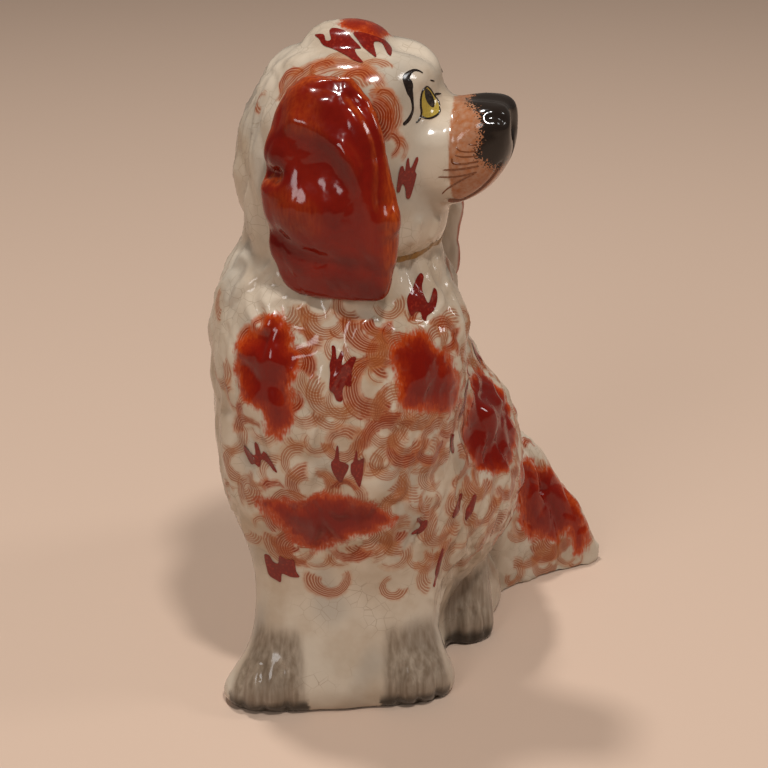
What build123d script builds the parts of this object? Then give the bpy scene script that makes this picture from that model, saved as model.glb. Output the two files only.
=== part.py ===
from build123d import *
import math
import os

# A press-moulded earthenware spaniel that sits in profile with its head turned to the room.
# +Z is up. The decorated side looks along -Y, the chest is towards -X and the tail towards +X.
# The origin is on the table, under the middle of the figure. All lengths are millimetres.

# Clay
wall = 4.2                  # thickness of the pressed clay
slab_thickness = 6.0        # flat slab that closes the foot
roll_thickness = 3.2        # clay rolls worked into the inside of each joint
roll_width = 10.0
vent_radius = 3.5           # lets the hot air out in the kiln
vent_x, vent_y = 30.0, 14.0
mould_seam_y = 40.0         # plane where the display and the wall-side moulds part
punch = 4                   # a hole is pricked with a tool this many times longer than the clay is thick

# Trunk: chest and two forelegs joined by a web, and behind them back, rump and thigh
trunk_height = 212.0
chest_x, chest_y = -87.0, 7.0
trunk_middle_x, trunk_middle_y = chest_x + 45.0, chest_y + 5.0
chest_turn = 26.0           # the chest looks a little towards the room
chest_width = 110.0
chest_depth = 104.0
rump_front_x = -78.0
rump_length = 182.0
rump_width = 106.0
rump_wall_side_y = 65.0
rump_squareness = 2.6
rump_display_y = rump_wall_side_y - rump_width
rump_end_x = rump_front_x + rump_length
thigh_x, thigh_y = rump_front_x + 78.0, rump_display_y + 27.0
thigh_height = 104.0
thigh_z = 0.827 * thigh_height
thigh_length, thigh_width = 98.0, 68.0
thigh_cap = 0.9             # the thigh fades into the flank above this share of its half-height

# Hind paw
hind_paw_x, hind_paw_y = thigh_x - 7.0, rump_display_y + 10.0
hind_paw_turn = 51.0
hind_paw_width = 27.0
hind_paw_length = 46.0
hind_paw_height = 52.0
hind_paw_squareness = 2.6
heel_x, heel_y = thigh_x + 22.0, rump_display_y + 26.0
heel_length, heel_width, heel_height = 66.0, 38.0, 74.0

# Tail, which fans out from the rump over the display side
tail_height = 79.0
tail_width = 60.0
tail_root_x, tail_root_y = rump_end_x - 38.0, rump_display_y + 33.0
tail_heading = -67.0
tail_reach = 67.0
tail_hollow_length, tail_hollow_width, tail_hollow_height = 52.0, 34.0, 48.0
tail_hollow_reach = 12.0
tail_squareness = 2.2

# Head, turned away from the chest
head_x, head_y = chest_x + 40.0, chest_y + 14.0
head_turn = 7.0
head_length = 92.0
head_width = 84.0
head_height = 85.0
muzzle_start = 28.0
muzzle_length = 47.0
muzzle_width = 46.0
muzzle_height = 50.0
muzzle_level = trunk_height + 42.5
muzzle_squareness = 2.3
muzzle_bore_radius = 12.0
muzzle_bore_depth = 34.0
topknot_length, topknot_width, topknot_height = 42.0, 34.0, 24.0
topknot_forward = 5.0
topknot_level = trunk_height + head_height - 4.0

# Ears
ear_length = 90.0
ear_width = 56.0
ear_thickness = 17.0
ear_bottom = trunk_height - 13.0
ear_out = head_width / 2 + 2.0      # from the middle of the head to the middle of the ear
ear_forward = 8.0
far_ear_drop = 24.0         # the far ear hangs lower and swings forward over the shoulder
far_ear_lean = 12.0
ear_squareness = 2.2

outline_points = 32
small_outline_points = 14
hollow_points = 32
join_sharpness = 10
search_steps = 90
halvings = 24
level_gap = 0.4             # a flat face this near to a height lies on it

# Each row is a height share, then the chest's front, rear, wall-side and display-side shares
# and its squareness, then the rump's length, display-side and wall-side shares.
TRUNK_SHARES = [
    (0.000, 0.005, 0.327, 0.461, -0.485, 3.0, 0.978, 0.820, 0.953),
    (0.050, -0.030, 0.346, 0.455, -0.475, 3.0, 0.989, 0.820, 0.981),
    (0.120, 0.005, 0.350, 0.365, -0.430, 2.7, 1.000, 0.830, 1.000),
    (0.230, 0.060, 0.375, 0.325, -0.415, 2.5, 0.989, 0.870, 1.000),
    (0.340, 0.050, 0.420, 0.350, -0.423, 2.4, 0.951, 0.920, 1.000),
    (0.450, -0.020, 0.529, 0.425, -0.460, 2.3, 0.883, 0.925, 1.000),
    (0.570, -0.090, 0.680, 0.470, -0.500, 2.2, 0.757, 0.890, 0.990),
    (0.690, -0.120, 0.730, 0.475, -0.535, 2.2, 0.637, 0.850, 0.970),
    (0.800, -0.100, 0.720, 0.480, -0.535, 2.2, 0.522, 0.810, 0.935),
    (0.900, -0.025, 0.710, 0.450, -0.500, 2.1, 0.429, 0.760, 0.900),
    (0.965, 0.030, 0.740, 0.395, -0.455, 2.0, 0.369, 0.700, 0.850),
    (1.000, 0.048, 0.760, 0.350, -0.440, 2.0, 0.315, 0.600, 0.800),
]
# Each row is a height share, then front, back and half-width shares. It starts at the neck.
HEAD_SHARES = [
    (0.000, 0.450, -0.390, 0.510),
    (0.120, 0.500, -0.450, 0.505),
    (0.370, 0.515, -0.490, 0.500),
    (0.600, 0.515, -0.450, 0.490),
    (0.780, 0.515, -0.370, 0.450),
    (0.900, 0.480, -0.285, 0.385),
    (0.965, 0.395, -0.195, 0.290),
    (1.000, 0.250, -0.090, 0.150),
]
# Each row is: length share, half-width share, half-height share, lift share
MUZZLE_SHARES = [
    (0.00, 0.560, 0.500, 0.000),
    (0.42, 0.510, 0.485, 0.000),
    (0.69, 0.455, 0.420, 0.050),
    (0.87, 0.385, 0.330, 0.130),
    (0.96, 0.280, 0.230, 0.190),
    (1.00, 0.130, 0.110, 0.210),
]
# Each row is: height share, front share, back share, half-thickness share, outward share
EAR_SHARES = [
    (0.000, 0.300, -0.210, 0.160, 0.930),
    (0.060, 0.420, -0.380, 0.380, 0.960),
    (0.220, 0.470, -0.470, 0.480, 1.000),
    (0.370, 0.500, -0.500, 0.520, 1.020),
    (0.560, 0.450, -0.515, 0.560, 1.000),
    (0.740, 0.370, -0.480, 0.560, 0.930),
    (0.890, 0.270, -0.400, 0.480, 0.840),
    (1.000, 0.110, -0.220, 0.260, 0.770),
]
# Each row is: reach share, sideways share, half-width share, height share
TAIL_SHARES = [
    (-0.060, -0.07, 0.500, 0.875),
    (0.200, -0.04, 0.475, 1.000),
    (0.333, 0.01, 0.410, 0.960),
    (0.515, 0.05, 0.333, 0.800),
    (0.667, 0.06, 0.258, 0.590),
    (0.818, 0.04, 0.175, 0.410),
    (0.924, 0.03, 0.105, 0.240),
    (1.000, 0.02, 0.040, 0.110),
]
# Each row is: height share, front share, rear share, half-width share
HIND_PAW_SHARES = [
    (0.00, -0.10, 0.85, 0.52),
    (0.20, -0.12, 0.88, 0.54),
    (0.55, -0.06, 0.90, 0.50),
    (0.80, -0.02, 0.92, 0.48),
    (1.00, 0.10, 0.85, 0.40),
]


def oval(x, y, turn, half_u, half_v, power=2.0):
    return x, y, math.radians(turn), half_u, half_v, power


def gauge(x, y, shape):
    """1 on the outline of an oval, less inside it and more outside."""
    centre_x, centre_y, turn, half_u, half_v, power = shape
    u = (x - centre_x) * math.cos(turn) + (y - centre_y) * math.sin(turn)
    v = (y - centre_y) * math.cos(turn) - (x - centre_x) * math.sin(turn)
    return (abs(u / half_u) ** power + abs(v / half_v) ** power) ** (1 / power)


def inside(x, y, shapes):
    total = sum(max(gauge(x, y, shape), 1 / search_steps) ** -join_sharpness for shape in shapes)
    return total >= 1


def reach(middle, angle, shapes, longest):
    """How far the joined outline lies from the middle, in one direction."""
    c, s = math.cos(angle), math.sin(angle)
    step = longest / search_steps
    high = longest
    while high > step and not inside(middle[0] + c * high, middle[1] + s * high, shapes):
        high -= step
    low, high = high, high + step
    for _ in range(halvings):
        half = (low + high) / 2
        if inside(middle[0] + c * half, middle[1] + s * half, shapes):
            low = half
        else:
            high = half
    return low


def ring(middle, z, shapes, longest, count):
    """Points at one height, on one smooth outline round several ovals."""
    points = []
    for step in range(count):
        angle = math.tau * step / count
        far = reach(middle, angle, shapes, longest)
        points.append((middle[0] + far * math.cos(angle), middle[1] + far * math.sin(angle), z))
    return points


def smooth_wire(points):
    return Wire([Edge.make_spline([Vector(*p) for p in points], periodic=True)])


def plain_wire(points):
    return Wire.make_polygon([Vector(*p) for p in points], close=True)


def smooth_loft(rings):
    return Solid.make_loft([smooth_wire(points) for points in rings], False)


def plain_loft(rings):
    return Solid.make_loft([plain_wire(points) for points in rings], True)


def level_faces(solid, z):
    return [f for f in solid.faces()
            if f.geom_type == GeomType.PLANE and abs(f.normal_at().Z) > 1 / 2
            and abs(f.center().Z - z) < level_gap]


def shell_between(outside, hollow, z_low, z_high=None):
    """Clay between two lofts, open at the foot and, where z_high is given, also on top."""
    faces = list(outside.faces()) + list(hollow.faces())
    for z in (z_low, z_high):
        if z is None:
            continue
        outer, inner = level_faces(outside, z)[0], level_faces(hollow, z)[0]
        faces = [f for f in faces if not (f.is_same(outer) or f.is_same(inner))]
        faces.append(Face(outer.outer_wire(), [inner.outer_wire()]))
    return Solid(Shell(faces)).fix()


def chest_oval(row, inset=0.0):
    _, front, rear, left, right, power = row[:6]
    turn = math.radians(chest_turn)
    along = chest_depth * (front + rear) / 2
    across = chest_width * (left + right) / 2
    x = chest_x + along * math.cos(turn) - across * math.sin(turn)
    y = chest_y + along * math.sin(turn) + across * math.cos(turn)
    return oval(x, y, chest_turn, chest_depth * (rear - front) / 2 - inset,
                chest_width * (left - right) / 2 - inset, power)


def rump_oval(row, inset=0.0):
    length, display, back = row[6:]
    half_x = rump_length * length / 2
    low = rump_wall_side_y - rump_width * display
    high = rump_wall_side_y - rump_width * (1 - back)
    return oval(rump_front_x + half_x, (low + high) / 2, 0, half_x - inset,
                (high - low) / 2 - inset, rump_squareness)


def thigh_oval(z, inset=0.0):
    rise = (z - thigh_z) / (thigh_height / 2)
    if abs(rise) > thigh_cap:
        return []
    share = math.sqrt(1 - rise * rise)
    return [oval(thigh_x, thigh_y, 0, thigh_length / 2 * share - inset, thigh_width / 2 * share - inset)]


def trunk_shapes(row, inset):
    return [chest_oval(row, inset), rump_oval(row, inset)] + thigh_oval(trunk_height * row[0], inset)


def trunk_ring(row, count, inset=0.0):
    """One outline of the trunk, or of its hollow where the clay is inset thick."""
    middle = (trunk_middle_x, trunk_middle_y)
    longest = rump_length + chest_depth
    points = ring(middle, trunk_height * row[0], trunk_shapes(row, inset), longest, count)
    if not inset:
        return points
    outline = ring(middle, trunk_height * row[0], trunk_shapes(row, 0.0), longest, count)
    return [thinned(middle, inner, outer, inset) for inner, outer in zip(points, outline)]


def thinned(middle, inner, outer, inset):
    """The inner point, or one as far in from the outer point as the clay is thick."""
    far = math.dist(middle, inner[:2])
    share = min(far, math.dist(middle, outer[:2]) - inset) / far
    return (middle[0] + (inner[0] - middle[0]) * share, middle[1] + (inner[1] - middle[1]) * share, inner[2])


def trunk_loft():
    return smooth_loft([trunk_ring(row, outline_points) for row in TRUNK_SHARES])


def trunk_hollow(inset):
    return plain_loft([trunk_ring(row, hollow_points, inset) for row in TRUNK_SHARES])


def head_point(side, forward, z):
    turn = math.radians(head_turn)
    return (head_x + side * math.cos(turn) + forward * math.sin(turn),
            head_y + side * math.sin(turn) - forward * math.cos(turn), z)


def head_ring(row, count, inset=0.0, drop=0.0):
    height, front, back, side = row
    x, y, z = head_point(0, head_length * (front + back) / 2, trunk_height + head_height * height)
    shape = oval(x, y, head_turn, head_width * side - inset, head_length * (front - back) / 2 - inset)
    return ring((x, y), z - drop, [shape], head_length, count)


def neck_ring(count, inset=0.0):
    return trunk_ring(TRUNK_SHARES[-1], count, inset)


def head_loft():
    rows = [head_ring(row, outline_points) for row in HEAD_SHARES[1:]]
    return smooth_loft([neck_ring(outline_points)] + rows)


def head_hollow(inset):
    rows = [head_ring(row, hollow_points, inset, inset if row[0] > 0.5 else 0) for row in HEAD_SHARES[2:-1]]
    return plain_loft([neck_ring(hollow_points, inset)] + rows)


def across(plane, half_u, half_v, power):
    points = []
    for step in range(small_outline_points):
        angle = math.tau * step / small_outline_points
        c, s = math.cos(angle), math.sin(angle)
        points.append(plane.from_local_coords((
            half_u * math.copysign(abs(c) ** (2 / power), c),
            half_v * math.copysign(abs(s) ** (2 / power), s),
        )))
    return Wire([Edge.make_spline(points, periodic=True)])


def facing(origin, heading):
    """An upright plane that looks along a compass heading."""
    turn = math.radians(heading)
    return Plane(origin=origin, x_dir=(-math.sin(turn), math.cos(turn), 0),
                 z_dir=(math.cos(turn), math.sin(turn), 0))


def muzzle():
    wires = []
    for along, width, height, lift in MUZZLE_SHARES:
        forward = muzzle_start + muzzle_length * along
        plane = facing(head_point(0, forward, muzzle_level + muzzle_height * lift), head_turn - 90)
        wires.append(across(plane, muzzle_width * width, muzzle_height * height,
                            muzzle_squareness))
    return Solid.make_loft(wires, False)


def muzzle_bore():
    plane = facing(head_point(0, 0, muzzle_level), head_turn - 90)
    length = muzzle_start + muzzle_bore_depth
    return plane * Cylinder(muzzle_bore_radius, length, align=(Align.CENTER, Align.CENTER, Align.MIN))


def topknot():
    ball = scale(Sphere(1), by=(topknot_width / 2, topknot_length / 2, topknot_height / 2))
    return ball.rotate(Axis.Z, head_turn).translate(head_point(0, topknot_forward, topknot_level))


def ear(side, drop=0.0, lean=0.0):
    wires = []
    turn = math.radians(head_turn)
    for height, front, back, thickness, out in EAR_SHARES:
        z = ear_bottom - drop + (ear_length + drop) * height
        forward = ear_forward + ear_width * (front + back) / 2 + lean * (1 - height)
        plane = Plane(origin=head_point(side * ear_out * out, forward, z),
                      x_dir=(math.cos(turn), math.sin(turn), 0), z_dir=(0, 0, 1))
        wires.append(across(plane, ear_thickness * thickness, ear_width * (front - back) / 2,
                            ear_squareness))
    return Solid.make_loft(wires, False)


def tail_point(along, sideways, z):
    turn = math.radians(tail_heading)
    return (tail_root_x + along * math.cos(turn) - sideways * math.sin(turn),
            tail_root_y + along * math.sin(turn) + sideways * math.cos(turn), z)


def tail():
    wires = []
    for reach_share, sideways, half_width, height in TAIL_SHARES:
        origin = tail_point(tail_reach * reach_share, tail_width * sideways, 0)
        wires.append(across(facing(origin, tail_heading), tail_width * half_width,
                            tail_height * height, tail_squareness))
    return Solid.make_loft(wires, False) & between(0, tail_height * 2)


def tail_hollow():
    ball = scale(Sphere(1), by=(tail_hollow_length / 2, tail_hollow_width / 2, tail_hollow_height / 2))
    middle = tail_point(tail_hollow_reach, 0, slab_thickness + tail_hollow_height / 2)
    return ball.rotate(Axis.Z, tail_heading).translate(middle)


def tail_vent():
    """The hole pricked through the trunk, so that the tail can breathe in the kiln."""
    prick = facing(tail_point(0, 0, tail_hollow_height / 2), tail_heading)
    return prick * Cylinder(vent_radius, tail_hollow_length)


def hind_paw():
    turn = math.radians(hind_paw_turn)
    wires = []
    for height, front, rear, side in HIND_PAW_SHARES:
        along = hind_paw_length * (front + rear) / 2
        plane = Plane(origin=(hind_paw_x + along * math.cos(turn), hind_paw_y + along * math.sin(turn),
                              hind_paw_height * height),
                      x_dir=(math.cos(turn), math.sin(turn), 0), z_dir=(0, 0, 1))
        wires.append(across(plane, hind_paw_length * (rear - front) / 2, hind_paw_width * side,
                            hind_paw_squareness))
    heel = scale(Sphere(1), by=(heel_length / 2, heel_width / 2, heel_height / 2))
    return Solid.make_loft(wires, False) + (heel.translate((heel_x, heel_y, 0)) & between(0, heel_height))


def block(low, high):
    size = [b - a for a, b in zip(low, high)]
    centre = [(a + b) / 2 for a, b in zip(low, high)]
    return Box(*size).translate(tuple(centre))


def between(low, high):
    far = rump_length + trunk_height
    return block((-far, -far, low), (far, far, high))


def near_plane(y, width):
    far = rump_length + trunk_height
    return block((-far, y - width / 2, -far), (far, y + width / 2, far))


def display_side():
    far = rump_length + trunk_height
    return block((-far, -far, -far), (far, mould_seam_y, far))


def save(shape, name):
    os.makedirs("parts", exist_ok=True)
    solids = shape.solids()
    export_step(Compound(children=list(solids)) if len(solids) > 1 else solids[0], f"parts/{name}.step")


def main():
    trunk = trunk_loft()
    trunk_room = trunk_hollow(wall)
    trunk_clay = shell_between(trunk, trunk_room, 0, trunk_height)
    save((trunk_clay & display_side()) - tail_vent(), "trunk_display_pressing")
    save(trunk_clay - display_side(), "trunk_back_pressing")

    vent = Cylinder(vent_radius, slab_thickness * punch).translate((vent_x, vent_y, 0))
    save((trunk_room & between(0, slab_thickness)) - vent, "base_slab")

    head = head_loft()
    head_room = head_hollow(wall)
    head_clay = shell_between(head, head_room, trunk_height)
    head_clay = head_clay + (muzzle() - head_room) + (topknot() - head_room) - muzzle_bore()
    save(head_clay & display_side(), "head_face_pressing")
    save(head_clay - display_side(), "head_back_pressing")

    # The rolls line the joints from the inside
    trunk_roll = shell_between(trunk_room, trunk_hollow(wall + roll_thickness), 0, trunk_height)
    foot_roll = trunk_roll & between(slab_thickness, slab_thickness + roll_width)
    save(foot_roll, "foot_luting_roll")
    neck_low = trunk_height - roll_width / 2
    seam_roll = trunk_roll & near_plane(mould_seam_y, roll_width) & between(slab_thickness + roll_width, neck_low)
    save(seam_roll, "trunk_seam_roll")
    head_roll = shell_between(head_room, head_hollow(wall + roll_thickness), trunk_height)
    neck_roll = (trunk_roll & between(neck_low, trunk_height)) + (
        head_roll & between(trunk_height, trunk_height + roll_width / 2))
    save(neck_roll, "neck_luting_roll")

    body = trunk + head
    save(ear(-1) - body, "near_ear")
    save(ear(1, far_ear_drop, far_ear_lean) - body, "far_ear")
    tail_clay = tail() - trunk
    save(tail_clay - tail_hollow(), "tail")
    save(hind_paw() - trunk - tail_clay, "hind_paw")


if __name__ == "__main__":
    main()
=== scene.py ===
"""Seated earthenware spaniel: the modelled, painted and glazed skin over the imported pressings.

Lengths are millimetres on the part's own axes, and turn to metres where a mesh is written.
+Z is up, the display side looks along -Y, the chest along -X and the wall side along +Y.
"""

import logging
import math
import random
from collections.abc import Iterator
from contextlib import contextmanager
from dataclasses import dataclass, field
from enum import Enum

import bpy
import numpy as np
from mathutils import Matrix, Vector, geometry, noise
from mathutils.bvhtree import BVHTree


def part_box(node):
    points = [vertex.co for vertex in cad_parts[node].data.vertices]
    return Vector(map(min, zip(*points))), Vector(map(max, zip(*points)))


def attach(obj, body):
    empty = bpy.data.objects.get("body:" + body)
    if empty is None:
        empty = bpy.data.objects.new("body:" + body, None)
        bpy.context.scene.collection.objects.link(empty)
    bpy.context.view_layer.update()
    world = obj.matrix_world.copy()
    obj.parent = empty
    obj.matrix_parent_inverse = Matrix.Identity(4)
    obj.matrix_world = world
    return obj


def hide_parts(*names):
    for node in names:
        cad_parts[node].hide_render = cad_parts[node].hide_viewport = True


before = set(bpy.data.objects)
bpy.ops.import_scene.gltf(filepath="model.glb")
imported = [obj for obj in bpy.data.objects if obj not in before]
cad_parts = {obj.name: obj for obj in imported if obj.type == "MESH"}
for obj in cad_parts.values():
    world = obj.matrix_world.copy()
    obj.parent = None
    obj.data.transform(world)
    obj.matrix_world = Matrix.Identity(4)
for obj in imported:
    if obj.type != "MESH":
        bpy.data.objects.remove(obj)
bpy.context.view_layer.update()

MM = 0.001

HEAD_CENTRE = np.array([-47.0, 21.0, 0.0])
HEAD_TURN = math.radians(7.0)
HEAD_SIDE = np.array([math.cos(HEAD_TURN), math.sin(HEAD_TURN), 0.0])
HEAD_FORWARD = np.array([math.sin(HEAD_TURN), -math.cos(HEAD_TURN), 0.0])
HEAD_LOW = 214.0
UP = np.array([0.0, 0.0, 1.0])
FAR = 400.0
TINY = 1e-9

Hit = tuple[np.ndarray, np.ndarray]
Size = tuple[float, float, float]
Marks = tuple[tuple[float, ...], ...]
Socket = bpy.types.NodeSocket

log = logging.getLogger("spaniel")


# The ways of looking at the figure that its marks are placed by


@dataclass(frozen=True)
class PhotoCamera:
    """The camera of the photograph. Its marks are pixels, across and down."""

    focal: float = 1700.0
    pitch: float = 23.0
    heading: float = 20.0
    eye: Size = (-693.7, -234.1, 438.3)
    width: float = 768.0
    sensor: float = 36.0
    sight_metres: float = 50.0
    scale: float = 0.384  # millimetres at the figure to one pixel

    def axes(self) -> tuple[np.ndarray, np.ndarray, np.ndarray]:
        """Gives the directions to the right, up and forward.

        Returns:
            The three directions.
        """
        turn, tilt = math.radians(self.heading), math.radians(self.pitch)
        level = np.array([math.cos(turn), math.sin(turn), 0.0])
        right = np.array([math.sin(turn), -math.cos(turn), 0.0])
        forward = level * math.cos(tilt) - UP * math.sin(tilt)
        return right, np.cross(right, forward), forward

    def ray(self, across: float, down: float) -> Hit:
        """Gives the start and the direction of one pixel's ray.

        Args:
            across: the pixel's way from the left edge.
            down: its way from the top.

        Returns:
            The ray's start and direction.
        """
        right, up, forward = self.axes()
        middle = self.width / 2
        aim = forward + right * (across - middle) / self.focal - up * (down - middle) / self.focal
        return np.array(self.eye), aim / np.linalg.norm(aim)

    def flatten(self, points: np.ndarray) -> np.ndarray:
        """Gives the pixels of points in space.

        Args:
            points: the points.

        Returns:
            The ways across and down.
        """
        right, up, forward = self.axes()
        offset = points - np.array(self.eye)
        depth = offset @ forward
        across = self.width / 2 + self.focal * (offset @ right) / depth
        down = self.width / 2 - self.focal * (offset @ up) / depth
        return np.stack([across, down], -1)

    def facing(self, points: np.ndarray, normals: np.ndarray) -> np.ndarray:
        """Gives how squarely points of a surface look back: 1 straight at the eye, 0 side-on.

        Args:
            points: the points.
            normals: the surface's normals there.

        Returns:
            One value for each point.
        """
        sight = points - np.array(self.eye)
        sight /= np.linalg.norm(sight, axis=1)[:, None]
        return -np.einsum("ij,ij->i", sight, normals)

    def build(self) -> None:
        """Adds the camera to the scene."""
        right, up, forward = self.axes()
        lens = bpy.data.cameras.new("photo_camera")
        lens.sensor_width = self.sensor
        lens.lens = self.sensor * self.focal / self.width
        lens.clip_end = self.sight_metres
        camera = bpy.data.objects.new("photo_camera", lens)
        bpy.context.scene.collection.objects.link(camera)
        camera.rotation_euler = Matrix(np.stack([right, up, -forward], -1).tolist()).to_euler()
        camera.location = Vector(self.eye) * MM
        bpy.context.scene.camera = camera


@dataclass(frozen=True)
class FlatView:
    """A straight look at one side of the figure. Its marks are the way to the right and the height."""

    ahead: Size
    origin: Size = (0.0, 0.0, 0.0)
    scale: float = 1.0

    def axes(self) -> tuple[np.ndarray, np.ndarray, np.ndarray]:
        """Gives the directions to the right, up and forward."""
        return np.cross(self.ahead, UP), UP, np.array(self.ahead)

    def ray(self, across: float, height: float) -> Hit:
        """Gives the start and the direction of the ray through one place."""
        right, up, forward = self.axes()
        return np.array(self.origin) + right * across + up * height - forward * FAR, forward

    def flatten(self, points: np.ndarray) -> np.ndarray:
        """Gives the places in this view of points in space."""
        return np.stack([(points - np.array(self.origin)) @ self.axes()[0], points[:, 2]], -1)

    def facing(self, points: np.ndarray, normals: np.ndarray) -> np.ndarray:
        """Gives how squarely points of a surface look back: 1 straight on, 0 side-on."""
        return -(normals @ self.axes()[2])


class View(Enum):
    """A way of looking that marks are placed by."""

    PHOTO = PhotoCamera()
    DISPLAY = FlatView((0.0, 1.0, 0.0))
    REAR = FlatView((-1.0, 0.0, 0.0))
    FACE = FlatView(tuple(-HEAD_FORWARD), tuple(HEAD_CENTRE))


CAMERA = View.PHOTO.value
P, D, R = View.PHOTO, View.DISPLAY, View.REAR


def smooth_path(marks: Marks, step: float, closed: bool = False) -> np.ndarray:
    """Runs a smooth curve through some marks.

    Args:
        marks: the points, with anything more that varies along the curve.
        step: the length between samples, in the units of the marks.
        closed: whether the curve comes back to its first mark.

    Returns:
        The samples, one row each.
    """
    rows = np.array(marks, float)
    count = len(rows)
    out = []
    for i in range(count if closed else count - 1):
        picks = [(i + k) % count if closed else min(max(i + k, 0), count - 1) for k in (-1, 0, 1, 2)]
        p0, p1, p2, p3 = rows[picks]
        pieces = max(1, math.ceil(np.linalg.norm((p2 - p1)[:2]) / step))
        for t in np.arange(pieces) / pieces:
            bend = (2 * p0 - 5 * p1 + 4 * p2 - p3) * t**2 + (3 * p1 - p0 - 3 * p2 + p3) * t**3
            out.append(0.5 * (2 * p1 + (p2 - p0) * t + bend))
    if not closed:
        out.append(rows[-1])
    return np.array(out)


def distance_to_line(points: np.ndarray, line: np.ndarray) -> np.ndarray:
    """Gives how far points lie from a line of short runs.

    Args:
        points: the points, flat or in space.
        line: the ends of the runs, in order.

    Returns:
        The distances.
    """
    best = np.full(len(points), np.inf)
    for a, b in zip(line[:-1], line[1:]):
        run = b - a
        share = np.clip((points - a) @ run / max(run @ run, TINY), 0, 1)
        best = np.minimum(best, np.linalg.norm(points - a - share[:, None] * run, axis=1))
    return best


def inside_by(places: np.ndarray, outline: np.ndarray) -> np.ndarray:
    """Gives how far flat places lie inside a closed outline.

    Args:
        places: the places.
        outline: the outline's corners.

    Returns:
        The distances to the outline, negative outside it.
    """
    gap = distance_to_line(places, np.vstack([outline, outline[:1]]))
    crossings = np.zeros(len(places), int)
    for p, q in zip(outline, np.roll(outline, -1, axis=0)):
        spans = (p[1] > places[:, 1]) != (q[1] > places[:, 1])
        rise = q[1] - p[1] if abs(q[1] - p[1]) > TINY else TINY
        crossings += spans & (places[:, 0] < p[0] + (places[:, 1] - p[1]) * (q[0] - p[0]) / rise)
    return np.where(crossings % 2 == 1, gap, -gap)


def mirror(points: np.ndarray) -> np.ndarray:
    """Gives the same points on the other side of the head."""
    offset = (points - HEAD_CENTRE) @ HEAD_SIDE
    return points - 2 * offset[..., None] * HEAD_SIDE


# The surface of one skin, and the modelling on it


def select_only(*pieces: bpy.types.Object) -> None:
    """Selects some pieces and nothing else, and makes the first of them active."""
    bpy.ops.object.select_all(action="DESELECT")
    for piece in pieces:
        piece.select_set(True)
    bpy.context.view_layer.objects.active = pieces[0]


@contextmanager
def editing(pick: str | None = None) -> Iterator[None]:
    """Opens the active mesh for editing.

    Args:
        pick: what to select first, in the words of Blender's select_all.
    """
    bpy.ops.object.mode_set(mode="EDIT")
    if pick:
        bpy.ops.mesh.select_all(action=pick)
    yield
    bpy.ops.object.mode_set(mode="OBJECT")


def fetch(rows: bpy.types.bpy_prop_collection, name: str) -> np.ndarray:
    """Reads a vector that each row of a mesh has.

    Args:
        rows: the mesh's points, normals or faces.
        name: what the vector is called.

    Returns:
        The vectors, one row each.
    """
    values = np.empty(len(rows) * 3, np.float32)
    rows.foreach_get(name, values)
    return values.reshape(-1, 3).astype(float)


def keep(body: bpy.types.Object, name: str, values: np.ndarray) -> None:
    """Keeps a value, or a vector, for each point of a mesh.

    Args:
        body: the piece.
        name: what the finish calls the value.
        values: one value or one row for each point.
    """
    kind, key = ("FLOAT", "value") if values.ndim == 1 else ("FLOAT_VECTOR", "vector")
    made = body.data.attributes.new(name, kind, "POINT")
    made.data.foreach_set(key, values.astype(np.float32).ravel())


def tree_of(mesh: bpy.types.Mesh, points: np.ndarray) -> BVHTree:
    """Makes the search tree of a mesh whose points are given in millimetres."""
    return BVHTree.FromPolygons([Vector(p) for p in points], [tuple(f.vertices) for f in mesh.polygons])


class Surface:
    """The points and normals of a mesh, in millimetres, and where rays meet it."""

    def __init__(self, body: bpy.types.Object) -> None:
        """Reads the mesh of an object."""
        self.body = body
        self.read()

    def read(self) -> None:
        """Reads the points and the normals again, and makes the search tree."""
        mesh = self.body.data
        mesh.update()
        self.points = fetch(mesh.vertices, "co") / MM
        self.normals = fetch(mesh.vertex_normals, "vector")
        self.tree = tree_of(mesh, self.points)

    def write(self, points: np.ndarray) -> None:
        """Moves the mesh to new points, in millimetres."""
        self.body.data.vertices.foreach_set("co", (points * MM).astype(np.float32).ravel())
        self.read()

    def hit(self, view: View, a: float, b: float) -> Hit | None:
        """Gives the surface point and normal that a view's ray meets, if it meets any.

        Args:
            view: the view.
            a: the ray's first coordinate in it.
            b: its second coordinate.

        Returns:
            The point and the normal, or None.
        """
        start, aim = view.value.ray(a, b)
        place, normal, _, _ = self.tree.ray_cast(Vector(start), Vector(aim))
        return None if place is None else (np.array(place), np.array(normal))

    def nearest(self, point: np.ndarray) -> Hit:
        """Gives the surface point nearest to a point, and its normal."""
        place, normal, _, _ = self.tree.find_nearest(Vector(point))
        return np.array(place), np.array(normal)


def soft_step(low: float, high: float, value: np.ndarray) -> np.ndarray:
    """Gives 0 below low, 1 above high and an easy climb between."""
    share = np.clip((value - low) / (high - low), 0.0, 1.0)
    return share * share * (3 - 2 * share)


def grain(points: np.ndarray, size: Size, seed: float) -> np.ndarray:
    """Gives smooth noise about 0 whose features have the given lengths along the axes."""
    return np.array([noise.noise(Vector(p)) for p in points / np.array(size) + seed])


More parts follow.
